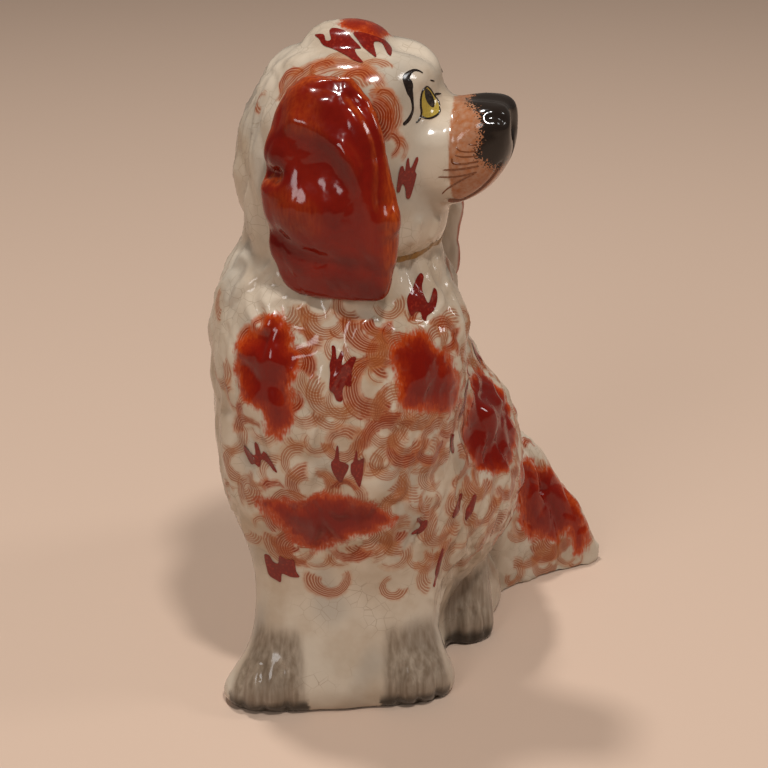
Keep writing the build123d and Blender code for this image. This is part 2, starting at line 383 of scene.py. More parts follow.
@dataclass(frozen=True)
class Locks:
    """How the locks of one piece are pressed: rounded cells, bent out of line by smooth noise."""

    size: Size
    relief: float
    floor: float
    seed: float
    bend_size: Size = (14.0, 14.0, 18.0)
    bend_seed: float = 5.1
    bend: float = 4.0
    fullness: float = 1.4

    def bent(self, points: np.ndarray) -> np.ndarray:
        """Gives points moved a little, so that the cells lie unevenly."""
        noises = [grain(points, self.bend_size, k * self.bend_seed) for k in (1, 2, 3)]
        return points + np.stack(noises, -1) * self.bend

    def lift(self, points: np.ndarray) -> np.ndarray:
        """Gives how far the locks raise each point: most at a cell's middle, least in the creases."""
        cells = [noise.voronoi(Vector(p))[0] for p in self.bent(points) / np.array(self.size) + self.seed]
        full = np.array([min(1.0, (gaps[1] - gaps[0]) * self.fullness) for gaps in cells])
        return self.relief * (full - self.floor)


class Modeller:
    """Works the clay of one skin: adds up what each tool does and moves the points once."""

    def __init__(self, surface: Surface) -> None:
        """Starts on a surface with nothing moved."""
        self.surface = surface
        self.lift = np.zeros(len(surface.points))

    def mound(self, view: View, a: float, b: float, radius: float, height: float,
              mirrored: bool = False) -> None:
        """Raises a soft mound, or sinks a soft dish where the height is negative.

        Args:
            view: the way the mound is placed.
            a: its middle's first coordinate in that view.
            b: its middle's second coordinate.
            radius: how far it reaches.
            height: how much it rises.
            mirrored: whether the other side of the head gets it too.
        """
        hit = self.surface.hit(view, a, b)
        if hit is None:
            return
        for centre in [hit[0], mirror(hit[0])][: 2 if mirrored else 1]:
            near = np.linalg.norm(self.surface.points - centre, axis=1) / radius
            self.lift += height * np.where(near < 1, (1 - np.minimum(near, 1) ** 2) ** 2, 0)

    def track(self, view: View, marks: Marks, width: float, height: float, mirrored: bool = False) -> None:
        """Draws a tool along a path: a groove where the height is negative, else a ridge.

        Args:
            view: the way the path is placed.
            marks: the path's marks in that view.
            width: the half-width of the mark it leaves.
            height: how deep or high it is.
            mirrored: whether the other side of the head gets it too.
        """
        hits = [self.surface.hit(view, *mark) for mark in smooth_path(marks, 3.0)]
        path = np.array([hit[0] for hit in hits if hit is not None])
        for line in [path, mirror(path)][: 2 if mirrored else 1]:
            self.lift += height * np.exp(-((distance_to_line(self.surface.points, line) / width) ** 2))

    def finish(self) -> None:
        """Moves the points."""
        self.surface.write(self.surface.points + self.surface.normals * self.lift[:, None])


@dataclass
class Skin:
    """The outer surface of some pressings, grown as one piece of clay."""

    name: str
    nodes: tuple[str, ...]
    slot: str
    grid: float
    softness: int
    helpers: tuple[str, ...] = ()
    vent: tuple[float, float] = (30.0, 14.0)
    plug_radius: float = 6.0
    weld: float = 0.01
    second_grid_share: float = 1.2
    probe: float = 0.8  # how far off the clay the look for an inner wall starts
    face_low: float = 216.0
    face_front: float = 22.0

    def grow(self) -> Surface:
        """Makes the skin over its nodes.

        Returns:
            The surface, ready to be modelled.
        """
        meshes = [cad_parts[node].data.copy() for node in self.nodes + self.helpers]
        copies = [bpy.data.objects.new(self.name, mesh) for mesh in meshes]
        for copy in copies:
            bpy.context.scene.collection.objects.link(copy)
        select_only(*copies)
        if len(copies) > 1:
            bpy.ops.object.join()
        body = copies[0]
        body.data.materials.clear()
        if self.helpers:
            self.plug(body)
        with editing("SELECT"):
            bpy.ops.mesh.remove_doubles(threshold=self.weld * MM)
        self.clay(body, self.grid)
        if self.helpers:
            self.skim(body)
            body = self.outermost(body)
            self.clay(body, self.grid * self.second_grid_share)
        body = self.outermost(body)
        ease = body.modifiers.new("fettling", "SMOOTH")
        ease.factor = 0.5
        ease.iterations = self.softness
        bpy.ops.object.modifier_apply(modifier=ease.name)
        self.refine(body)
        bpy.ops.object.shade_smooth()
        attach(body, "root")
        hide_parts(*self.nodes)
        return Surface(body)

    def plug(self, body: bpy.types.Object) -> None:
        """Closes the kiln vent of a copy of the foot slab, so that only the outside grows.

        Args:
            body: the copies, joined and active.
        """
        low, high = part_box(self.helpers[0])
        bpy.ops.mesh.primitive_cylinder_add(
            vertices=24, radius=self.plug_radius * MM, depth=high.z - low.z,
            location=(self.vent[0] * MM, self.vent[1] * MM, (low.z + high.z) / 2))
        select_only(body, bpy.context.view_layer.objects.active)
        bpy.ops.object.join()

    def clay(self, body: bpy.types.Object, grid: float) -> None:
        """Makes one body of clay of the active object.

        Args:
            body: the object.
            grid: the size of the cells that it is made of.
        """
        remesh = body.modifiers.new("clay", "REMESH")
        remesh.mode = "VOXEL"
        remesh.voxel_size = grid * MM
        bpy.ops.object.modifier_apply(modifier=remesh.name)

    def skim(self, body: bpy.types.Object) -> None:
        """Takes away the walls of the rooms inside, and closes what they leave open.

        Args:
            body: the clay, active.
        """
        surface = Surface(body)
        sides = [Vector(way * side) for way in (1, -1) for side in np.eye(3)]
        starts = [Vector(start) for start in surface.points + surface.normals * self.probe]
        looks = ([surface.tree.ray_cast(start, side)[0] for side in sides] for start in starts)
        hidden = [None not in places for places in looks]
        if not any(hidden):
            return
        with editing():
            bpy.ops.mesh.select_mode(type="VERT")
            bpy.ops.mesh.select_all(action="DESELECT")
        body.data.vertices.foreach_set("select", hidden)
        with editing():
            bpy.ops.mesh.delete(type="VERT")
            bpy.ops.mesh.select_all(action="SELECT")
            bpy.ops.mesh.fill_holes(sides=0)
        log.info("%s: %d points of the rooms inside taken away", self.name, sum(hidden))

    def outermost(self, body: bpy.types.Object) -> bpy.types.Object:
        """Keeps the largest closed surface and deletes those inside it.

        Args:
            body: the clay.

        Returns:
            The object of the outermost surface.
        """
        select_only(body)
        with editing("SELECT"):
            bpy.ops.mesh.separate(type="LOOSE")
        shells = sorted(bpy.context.selected_objects, key=lambda shell: shell.dimensions.length)
        log.info("%s has %d closed surfaces", self.name, len(shells))
        outside = shells.pop()
        for shell in shells:
            bpy.data.objects.remove(shell)
        outside.name = self.name
        select_only(outside)
        return outside

    def refine(self, body: bpy.types.Object) -> None:
        """Cuts the faces finer where the face is modelled, and makes them all triangles.

        Args:
            body: the clay, active.
        """
        if self.helpers:
            with editing("DESELECT"):
                pass
            centres = fetch(body.data.polygons, "center") / MM - HEAD_CENTRE
            fine = (centres[:, 2] > self.face_low) & (centres @ HEAD_FORWARD > self.face_front)
            body.data.polygons.foreach_set("select", fine)
            with editing():
                bpy.ops.mesh.subdivide(number_cuts=1)
        with editing("SELECT"):
            bpy.ops.mesh.quads_convert_to_tris()


# Brush marks


BRUSH_STEP = 0.7
COMB_LAYERS = 4
UNPAINTED = -6.0


@dataclass(frozen=True)
class Comb:
    """A turn of the split brush: thin hairs of colour side by side round one centre."""

    view: View
    a: float
    b: float
    inner: float
    outer: float
    start: float
    sweep: float
    tint: float


@dataclass(frozen=True)
class Patch:
    """A solid russet patch, by its outline."""

    view: View
    outline: Marks
    reach: float = 75.0


@dataclass(frozen=True)
class Stroke:
    """One brush stroke: its marks, each with the width there."""

    view: View
    marks: Marks
    mirrored: bool = False


@dataclass(frozen=True)
class Fill:
    """A small filled shape, by its outline."""

    view: View
    outline: Marks
    mirrored: bool = False


def first_hit(surfaces: list[Surface], view: View, a: float, b: float) -> Hit | None:
    """Gives the nearest point and normal that a view's ray meets on any of the surfaces.

    Args:
        surfaces: the surfaces.
        view: the view.
        a: the ray's first coordinate in it.
        b: its second coordinate.

    Returns:
        The point and the normal, or None.
    """
    start = view.value.ray(a, b)[0]
    hits = [hit for hit in (s.hit(view, a, b) for s in surfaces) if hit is not None]
    return min(hits, key=lambda hit: np.linalg.norm(hit[0] - start)) if hits else None


class Painter:
    """Lays the wide colours of one surface: each is a value kept at the mesh's points."""

    widening = 1.12  # the brush spreads past its own width when it is pressed
    taper = 0.58  # share of a comb's width that is lost where the brush lifts
    taper_power = 1.4
    hem = 2.0  # how far paint may run past a comb's edge

    def __init__(self, surface: Surface) -> None:
        """Starts on a bare surface.

        Args:
            surface: the surface to paint.
        """
        self.surface = surface
        count = len(surface.points)
        self.layers = [np.tile([0.0, UNPAINTED, 0.0], (count, 1)) for _ in range(COMB_LAYERS)]
        self.values: dict[str, np.ndarray] = {"patch": np.full(count, UNPAINTED)}

    def polar(self, brush: Comb, centre: np.ndarray, normal: np.ndarray) -> Hit:
        """Gives where each point lies round a comb's centre.

        Args:
            brush: the comb.
            centre: the place on the surface that it turns about.
            normal: the surface's normal there.

        Returns:
            The distances from the centre, and the degrees from the middle of the comb's turn.
        """
        right, up, _ = brush.view.value.axes()
        right = right - normal * (right @ normal)
        right /= np.linalg.norm(right)
        rise = np.cross(normal, right)
        rise *= 1.0 if rise @ up > 0 else -1.0
        offset = self.surface.points - centre
        angle = np.degrees(np.arctan2(offset @ rise, offset @ right)) - brush.start - brush.sweep / 2
        return np.linalg.norm(offset, axis=1), (angle + 180) % 360 - 180

    def comb(self, brush: Comb, centre: np.ndarray, normal: np.ndarray) -> None:
        """Lays one comb in the layer where it covers the least of the others.

        Args:
            brush: the comb.
            centre: the place on the surface that it turns about.
            normal: the surface's normal there.
        """
        scale = brush.view.value.scale
        inner, outer = brush.inner * scale, brush.outer * scale * self.widening
        radius, turn = self.polar(brush, centre, normal)
        edge, hair = inner, radius
        ends = np.full(len(radius), outer)
        if brush.sweep < 360:
            ends = np.radians(brush.sweep / 2 - np.abs(turn)) * radius
            way = 1.0 if (round(brush.a) + round(brush.b)) % 2 else -1.0
            lifted = np.clip(0.5 + way * turn / brush.sweep, 0.0, 1.0)
            edge = inner + (outer - inner) * self.taper * lifted**self.taper_power
            hair = outer - (outer - radius) * (outer - inner) / (outer - edge)
        mask = np.minimum.reduce([radius - edge, outer - radius, ends])
        mask = np.where(self.surface.normals @ normal > 0.0, mask, UNPAINTED)
        wide = mask > -self.hem
        if not wide.any():
            return
        costs = [(layer[wide, 1] > -self.hem).sum() for layer in self.layers]
        layer = self.layers[int(np.argmin(costs))]
        better = mask > layer[:, 1]
        layer[better] = np.stack([hair, mask, np.full(len(mask), brush.tint)], -1)[better]

    def fill(self, brush: Patch, centre: np.ndarray) -> None:
        """Lays one russet patch.

        Args:
            brush: the patch.
            centre: its middle on the surface.
        """
        view, points = brush.view.value, self.surface.points
        outline = smooth_path(brush.outline, 4.0, closed=True)
        near = np.linalg.norm(points - centre, axis=1) < brush.reach
        seen = (view.facing(points, self.surface.normals) > 0.02) & near
        depth = np.full(len(points), UNPAINTED)
        if seen.any():
            depth[seen] = inside_by(view.flatten(points[seen]), outline) * view.scale
        self.values["patch"] = np.maximum(self.values["patch"], np.clip(depth, UNPAINTED, 30.0))

    def write(self) -> None:
        """Keeps the colours on the mesh."""
        for number, layer in enumerate(self.layers):
            keep(self.surface.body, f"comb_{number}", layer)
        for name, values in self.values.items():
            keep(self.surface.body, name, values)


class Enameller:
    """Paints strokes and small fills as thin films that lie on the surfaces."""

    across = (-0.5, -0.25, 0.0, 0.25, 0.5)  # where a stroke's points lie over its width
    rim = 0.4  # share of the film's thickness at a stroke's edges
    stagger = 0.45  # how much higher a stroke lies than the one that it may cross

    def __init__(self, surfaces: list[Surface], lift: float, load: float) -> None:
        """Starts with no films.

        Args:
            surfaces: what the films lie on.
            lift: how far they stand off it.
            load: how much wider than its marks a full brush lays a stroke.
        """
        self.surfaces = surfaces
        self.lift = lift
        self.load = load
        self.laid = 0
        self.vertices: list[np.ndarray] = []
        self.faces: list[tuple[int, ...]] = []

    def settle(self, point: np.ndarray) -> Hit:
        """Gives the nearest point and normal on any of the surfaces."""
        return min((s.nearest(point) for s in self.surfaces), key=lambda hit: np.linalg.norm(hit[0] - point))

    def stroke(self, brush: Stroke) -> None:
        """Paints one stroke, and its mirror image where it has one.

        Args:
            brush: the stroke.
        """
        scale = brush.view.value.scale
        rows = smooth_path(brush.marks, BRUSH_STEP / scale)
        hits = [first_hit(self.surfaces, brush.view, a, b) for a, b, _ in rows]
        found = [k for k, hit in enumerate(hits) if hit is not None]
        if len(found) < 3:
            return
        centres = np.array([hits[k][0] for k in found])
        widths = rows[found, 2] * scale * self.load
        self.ribbon(centres, widths)
        if brush.mirrored:
            self.ribbon(np.array([self.settle(point)[0] for point in mirror(centres)]), widths)

    def ribbon(self, centres: np.ndarray, widths: np.ndarray) -> None:
        """Lays a film along a line, round at both ends.

        Args:
            centres: the line's points on the surface.
            widths: the film's width at each.
        """
        along = np.concatenate([[0.0], np.cumsum(np.linalg.norm(np.diff(centres, axis=0), axis=1))])
        ends = np.minimum(along, along[-1] - along) / np.maximum(widths / 2, 1e-6)
        widths = widths * np.sqrt(np.clip(1 - (1 - np.minimum(ends, 1)) ** 2, 0.02, 1))
        first = len(self.vertices)
        lift = self.lift * (1.0 + self.stagger * (self.laid % 3))
        self.laid += 1
        for centre, tangent, width in zip(centres, np.gradient(centres, axis=0), widths):
            side = np.cross(self.settle(centre)[1], tangent)
            side /= max(np.linalg.norm(side), TINY)
            for share in self.across:
                place, normal = self.settle(centre + side * width * share)
                self.vertices.append(place + normal * lift * (1.0 if abs(share) < 0.5 else self.rim))
        count = len(self.across)
        for row in range(first, first + count * (len(centres) - 1), count):
            self.faces += [(k, k + 1, k + count + 1, k + count) for k in range(row, row + count - 1)]

    def fill(self, brush: Fill) -> None:
        """Fills an outline with small triangles, and its mirror image where it has one.

        Args:
            brush: the shape.
        """
        step = BRUSH_STEP / brush.view.value.scale
        outline = smooth_path(brush.outline, step, closed=True)
        low, high = outline.min(axis=0), outline.max(axis=0)
        grid = np.meshgrid(np.arange(low[0], high[0], step), np.arange(low[1], high[1], step))
        grid = np.stack(grid, -1).reshape(-1, 2)
        grid = grid[inside_by(grid, outline) > 0.5 * step]
        places = [Vector(p) for p in np.concatenate([outline, grid])]
        found = geometry.delaunay_2d_cdt(places, [], [list(range(len(outline)))], 1, 1e-4)
        hits = [first_hit(self.surfaces, brush.view, *place) for place in found[0]]
        if any(hit is None for hit in hits):
            log.info("a filled mark at %s misses", brush.outline[0])
            return
        for side in [hits] + ([[self.settle(mirror(hit[0])) for hit in hits]] if brush.mirrored else []):
            first = len(self.vertices)
            self.vertices += [place + normal * self.lift for place, normal in side]
            self.faces += [tuple(first + k for k in face) for face in found[2]]

    def make(self, name: str, material: bpy.types.Material) -> None:
        """Turns the films into one piece, whose faces look away from what they lie on.

        Args:
            name: the piece's name.
            material: its enamel.
        """
        mesh = bpy.data.meshes.new(name)
        mesh.from_pydata((np.array(self.vertices) * MM).tolist(), [], self.faces)
        mesh.validate()
        mesh.materials.append(material)
        made = bpy.data.objects.new(name, mesh)
        bpy.context.scene.collection.objects.link(made)
        select_only(made)
        bpy.ops.object.shade_smooth()
        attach(made, "root")
        for face in mesh.polygons:
            outward = self.settle(np.array(face.center) / MM)[1]
            if np.array(face.normal) @ outward < 0:
                face.flip()
        mesh.update()
        log.info("%s: %d faces", name, len(self.faces))


# Finishes


def linear(code: str) -> tuple[float, float, float, float]:
    """Turns an sRGB hex colour to linear light."""
    parts = [int(code[i : i + 2], 16) / 255 for i in (1, 3, 5)]
    parts = [v / 12.92 if v <= 0.04045 else ((v + 0.055) / 1.055) ** 2.4 for v in parts]
    return parts[0], parts[1], parts[2], 1.0


class Recipe:
    """A material in the making: its nodes, its shader and the place on the piece in millimetres."""

    def __init__(self, name: str, roughness: float, ior: float = 1.5) -> None:
        """Starts a material.

        Args:
            name: what the real material is.
            roughness: its roughness.
            ior: its index of refraction.
        """
        self.material = bpy.data.materials.new(name)
        self.material.use_nodes = True
        self.tree = self.material.node_tree
        self.shader = self.tree.nodes["Principled BSDF"]
        self.shader.inputs["Roughness"].default_value = roughness
        self.shader.inputs["IOR"].default_value = ior
        self.place = self.add("TexCoord", {}, "Object")
        self.place = self.squeezed((1 / MM, 1 / MM, 1 / MM))

    def add(self, kind: str, inputs: dict, output: int | str = 0, **settings: object) -> Socket:
        """Adds a node.

        Args:
            kind: Blender's name of the node, without its first word.
            inputs: each input's value, or the output that feeds it.
            output: the output that is wanted.
            settings: the properties to set.

        Returns:
            That output.
        """
        made = self.tree.nodes.new("ShaderNode" + kind)
        for key, value in settings.items():
            setattr(made, key, value)
        for key, value in inputs.items():
            if isinstance(value, Socket):
                self.tree.links.new(value, made.inputs[key])
            else:
                made.inputs[key].default_value = value
        return made.outputs[output]

    def squeezed(self, scale: Size, turn: Size = (0.0, 0.0, 0.0)) -> Socket:
        """Gives the place on the piece, scaled along its axes and turned by radians."""
        return self.add("Mapping", {"Vector": self.place, "Scale": scale, "Rotation": turn})

    def noise(self, scale: float, detail: float, place: Socket | None = None) -> Socket:
        """Gives smooth noise with so many features to a millimetre."""
        place = self.place if place is None else place
        return self.add("TexNoise", {"Vector": place, "Scale": scale, "Detail": detail})

    def kept(self, name: str, output: str = "Fac") -> Socket:
        """Gives a value that the mesh keeps at its points."""
        return self.add("Attribute", {}, output, attribute_name=name)

    def line(self, value: Socket, low: float, high: float, start: float, end: float,
             kind: str = "LINEAR") -> Socket:
        """Gives start where a value is low, end where it is high, and what lies between."""
        return self.add("MapRange", {0: value, 1: low, 2: high, 3: start, 4: end}, interpolation_type=kind)

    def ease(self, value: Socket, low: float | Socket, high: float, start: float = 0.0,
             end: float = 1.0) -> Socket:
        """Does the same with an easy climb."""
        return self.line(value, low, high, start, end, "SMOOTHSTEP")

    def sum(self, operation: str, *values: float | Socket, clamp: bool = False) -> Socket:
        """Works out one sum."""
        return self.add("Math", dict(enumerate(values)), operation=operation, use_clamp=clamp)

    def mix(self, share: Socket, below: Socket | str, above: Socket | str) -> Socket:
        """Lays one colour over another; each is an sRGB code or what feeds it."""
        below, above = (linear(colour) if isinstance(colour, str) else colour for colour in (below, above))
        return self.add("Mix", {0: share, 6: below, 7: above}, 2, data_type="RGBA")

    def ripple(self, height: Socket, strength: float, depth: float) -> None:
        """Makes the skin of the glaze or the clay uneven, to a depth in millimetres."""
        normal = self.add("Bump", {"Strength": strength, "Distance": depth * MM, "Height": height})
        self.tree.links.new(normal, self.shader.inputs["Normal"])

    def finish(self, colour: Socket) -> bpy.types.Material:
        """Gives the material its colour."""
        self.tree.links.new(colour, self.shader.inputs["Base Color"])
        return self.material


@dataclass(frozen=True)
class StagePaper:
    """Matt paper of the floor: plain, with no sheen."""

    colour: str = "#c4a994"

    def build(self) -> bpy.types.Material:
        """Makes the material.

        Returns:
            The material.
        """
        recipe = Recipe("table_paper", 0.9)
        recipe.shader.inputs["Base Color"].default_value = linear(self.colour)
        return recipe.material


@dataclass(frozen=True)
class PaintedGlaze:
    """White earthenware under lead glaze, with russet and grey laid on with a brush.

    The glaze is a warm white that turns blue-grey in random blots and a little towards the foot, is
    crazed in cells of a few millimetres and ripples a little, so that lamps show as small bent glints.
    The russet is deep where it is thick and orange where it thins out to hairs.
    """

    white: str = "#beae9a"
    cloud: str = "#aa967f"
    blue_grey: str = "#938d83"
    crack: str = "#84735f"
    hair_pale: str = "#8c4c22"
    hair_strong: str = "#7c1f02"
    wash_pale: str = "#b48659"
    wash_strong: str = "#a04414"
    russet_thin: str = "#a2390c"
    russet_mid: str = "#821c02"
    russet_deep: str = "#6e0b00"
    peach: str = "#985a33"
    paw_grey: str = "#6b5a49"
    toe_dark: str = "#2b241c"
    ink: str = "#1f1712"
    roughness: float = 0.13
    ior: float = 1.43
    crack_pitch: float = 5.0
    crack_width: float = 0.03
    hair_pitch: float = 1.3
    hair_wander: float = 1.6
    hair_shortest: float = 2.6
    layer_seed: float = 31.7
    dot_pitch: float = 0.8

    def build(self) -> bpy.types.Material:
        """Makes the material.

        Returns:
            The material.
        """
        recipe = Recipe("painted_lead_glaze", self.roughness, self.ior)
        colour = self.ground(recipe)
        for number in range(COMB_LAYERS):
            colour = self.combed(recipe, colour, number)
        colour = self.tinted(recipe, self.patched(recipe, colour))
        recipe.ripple(recipe.noise(0.11, 2.0), 0.5, 0.6)
        return recipe.finish(colour)

    def ground(self, recipe: Recipe) -> Socket:
        """Gives the colour of the bare glaze: clouded, blue-grey in blots and towards the foot, and crazed
        here and there.

        Args:
            recipe: the material.

        Returns:
            The colour.
        """
        colour = recipe.mix(recipe.ease(recipe.noise(0.035, 4.0), 0.4, 0.68), self.white, self.cloud)
        # blue-grey over the white by the kept share: random blots, and a little more towards the foot
        colour = recipe.mix(recipe.kept("blue_grey_share"), colour, self.blue_grey)
        cells = {"Vector": recipe.place, "Scale": 1 / self.crack_pitch}
        gap = recipe.add("TexVoronoi", cells, "Distance", feature="DISTANCE_TO_EDGE")
        crack = recipe.ease(gap, 0.0, self.crack_width, 0.6, 0.0)
        shown = recipe.ease(recipe.noise(0.05, 1.0), 0.45, 0.65)
        return recipe.mix(recipe.sum("MULTIPLY", crack, shown), colour, self.crack)

    def combed(self, recipe: Recipe, colour: Socket, number: int) -> Socket:
        """Lays the hairs of one layer of combs, and the thin wash between them, over a colour.

        Args:
            recipe: the material.
            colour: what they lie on.
            number: which layer it is.

        Returns:
            The colour with the hairs.
        """
        kept = {0: recipe.kept(f"comb_{number}", "Vector")}
        place, mask, tint = recipe.add("SeparateXYZ", kept).node.outputs
        wandered = recipe.sum("MULTIPLY_ADD", recipe.noise(0.22, 2.0), self.hair_wander, place)
        phase = recipe.sum("DIVIDE", wandered, self.hair_pitch)
        count = recipe.sum("FLOOR", phase)
        seed = {"W": recipe.sum("ADD", count, self.layer_seed * (number + 1))}
        chance = recipe.add("TexWhiteNoise", seed, "Value", noise_dimensions="1D")
        off = recipe.sum("ABSOLUTE", recipe.sum("SUBTRACT", recipe.sum("SUBTRACT", phase, count), 0.5))
        hair = recipe.ease(off, recipe.line(chance, 0.0, 1.0, 0.4, 0.58), 0.2)
        spread = recipe.noise(0.4, 2.0)
        short = recipe.sum("MULTIPLY_ADD", chance, -self.hair_shortest, mask)
        reach = recipe.ease(recipe.sum("MULTIPLY_ADD", spread, 1.6, short), -0.4, 1.4)
        hair = recipe.sum("MULTIPLY", hair, reach)
        hair = recipe.sum("MULTIPLY", hair, recipe.line(tint, 0.0, 1.0, 0.62, 1.0))
        wash = recipe.ease(recipe.sum("MULTIPLY_ADD", spread, 2.4, mask), 0.4, 2.4)
        wash = recipe.sum("MULTIPLY", wash, recipe.line(tint, 0.0, 1.0, 0.12, 0.8))
        colour = recipe.mix(wash, colour, recipe.mix(tint, self.wash_pale, self.wash_strong))
        return recipe.mix(hair, colour, recipe.mix(tint, self.hair_pale, self.hair_strong))

    def patched(self, recipe: Recipe, colour: Socket) -> Socket:
        """Lays the russet patches over a colour, ragged at the edge and deepest in the middle.

        Args:
            recipe: the material.
            colour: what they lie on.

        Returns:
            The colour with the patches.
        """
        streaks = recipe.noise(1.0, 2.0, recipe.squeezed((1.1, 1.1, 0.28), (0.3, 0.2, 0.0)))
        edge = recipe.sum("MULTIPLY_ADD", recipe.noise(0.16, 3.0), 7.0, recipe.kept("patch"))
        edge = recipe.sum("SUBTRACT", recipe.sum("MULTIPLY_ADD", streaks, 4.0, edge), 5.5)
        red = recipe.mix(recipe.ease(edge, 0.0, 2.6), self.russet_thin, self.russet_mid)
        red = recipe.mix(recipe.ease(edge, 2.0, 6.5), red, self.russet_deep)
        return recipe.mix(recipe.ease(edge, -2.4, 0.6), colour, red)

    def tinted(self, recipe: Recipe, colour: Socket) -> Socket:
        """Lays the peach of the muzzle, the grey of the paws and the black over a colour.

        Args:
            recipe: the material.
            colour: what they lie on.

        Returns:
            The colour with these on it.
        """
        mottle = recipe.line(recipe.noise(0.5, 3.0), 0.3, 0.7, 0.72, 1.0)
        colour = recipe.mix(recipe.sum("MULTIPLY", recipe.kept("peach"), mottle), colour, self.peach)
        streaks = recipe.noise(1.0, 3.0, recipe.squeezed((0.45, 0.45, 0.03)))
        wash = recipe.line(streaks, 0.3, 0.7, 0.5, 0.95)
        wash = recipe.sum("MULTIPLY", recipe.kept("paw_wash"), wash, clamp=True)
        colour = recipe.mix(wash, colour, self.paw_grey)
        colour = recipe.mix(recipe.kept("toe"), colour, self.toe_dark)
        cells = {"Vector": recipe.place, "Scale": 1 / self.dot_pitch}
        dots = recipe.add("TexVoronoi", cells, "Distance", feature="F1")
        ink = recipe.sum("MULTIPLY_ADD", dots, -6.0, recipe.kept("ink"))
        return recipe.mix(recipe.ease(ink, -4.0, -2.6), colour, self.ink)


@dataclass(frozen=True)
class RussetGlaze:
    """Iron-red enamel under glaze on the ears: dark in the hollows, orange on rims and ridges."""

    deep: str = "#620700"
    body: str = "#741102"
    thin: str = "#a0400f"
    white: str = "#c4b6a5"
    roughness: float = 0.13
    ior: float = 1.43

    def build(self) -> bpy.types.Material:
        """Makes the material.

        Returns:
            The material.
        """
        recipe = Recipe("iron_red_glaze", self.roughness, self.ior)
        colour = recipe.mix(recipe.ease(recipe.noise(0.06, 4.0), 0.35, 0.65), self.body, self.deep)
        streaks = recipe.noise(1.0, 3.0, recipe.squeezed((0.8, 0.8, 0.15)))
        edge = recipe.line(streaks, 0.3, 0.7, 0.3, 1.2)
        colour = recipe.mix(recipe.sum("MULTIPLY", recipe.kept("thin"), edge, clamp=True), colour, self.thin)
        colour = recipe.mix(recipe.kept("bare"), colour, self.white)
        recipe.ripple(recipe.noise(0.13, 2.0), 0.5, 0.8)
        return recipe.finish(colour)


@dataclass(frozen=True)
class Enamel:
    """A thin film of one enamel colour, glossy, a little uneven where the brush ran dry."""

    name: str
    colour: str
    thin: str
    roughness: float = 0.14
    metallic: float = 0.0

    def build(self) -> bpy.types.Material:
        """Makes the material.

        Returns:
            The material.
        """
        recipe = Recipe(self.name, self.roughness)
        recipe.shader.inputs["Metallic"].default_value = self.metallic
        dry = recipe.ease(recipe.noise(0.9, 4.0), 0.48, 0.72)
        return recipe.finish(recipe.mix(dry, self.colour, self.thin))


@dataclass(frozen=True)
class FiredClay:
    """Unglazed biscuit under the foot: buff, dry and finely gritty."""

    buff: str = "#cdb99c"
    grit: str = "#a88e6d"

    def build(self) -> bpy.types.Material:
        """Makes the material.

        Returns:
            The material.
        """
        recipe = Recipe("fired_clay_biscuit", 0.85)
        specks = recipe.noise(1.6, 5.0)
        recipe.ripple(specks, 0.4, 0.3)
        return recipe.finish(recipe.mix(recipe.ease(specks, 0.5, 0.7), self.buff, self.grit))


# The figure's sub-assemblies


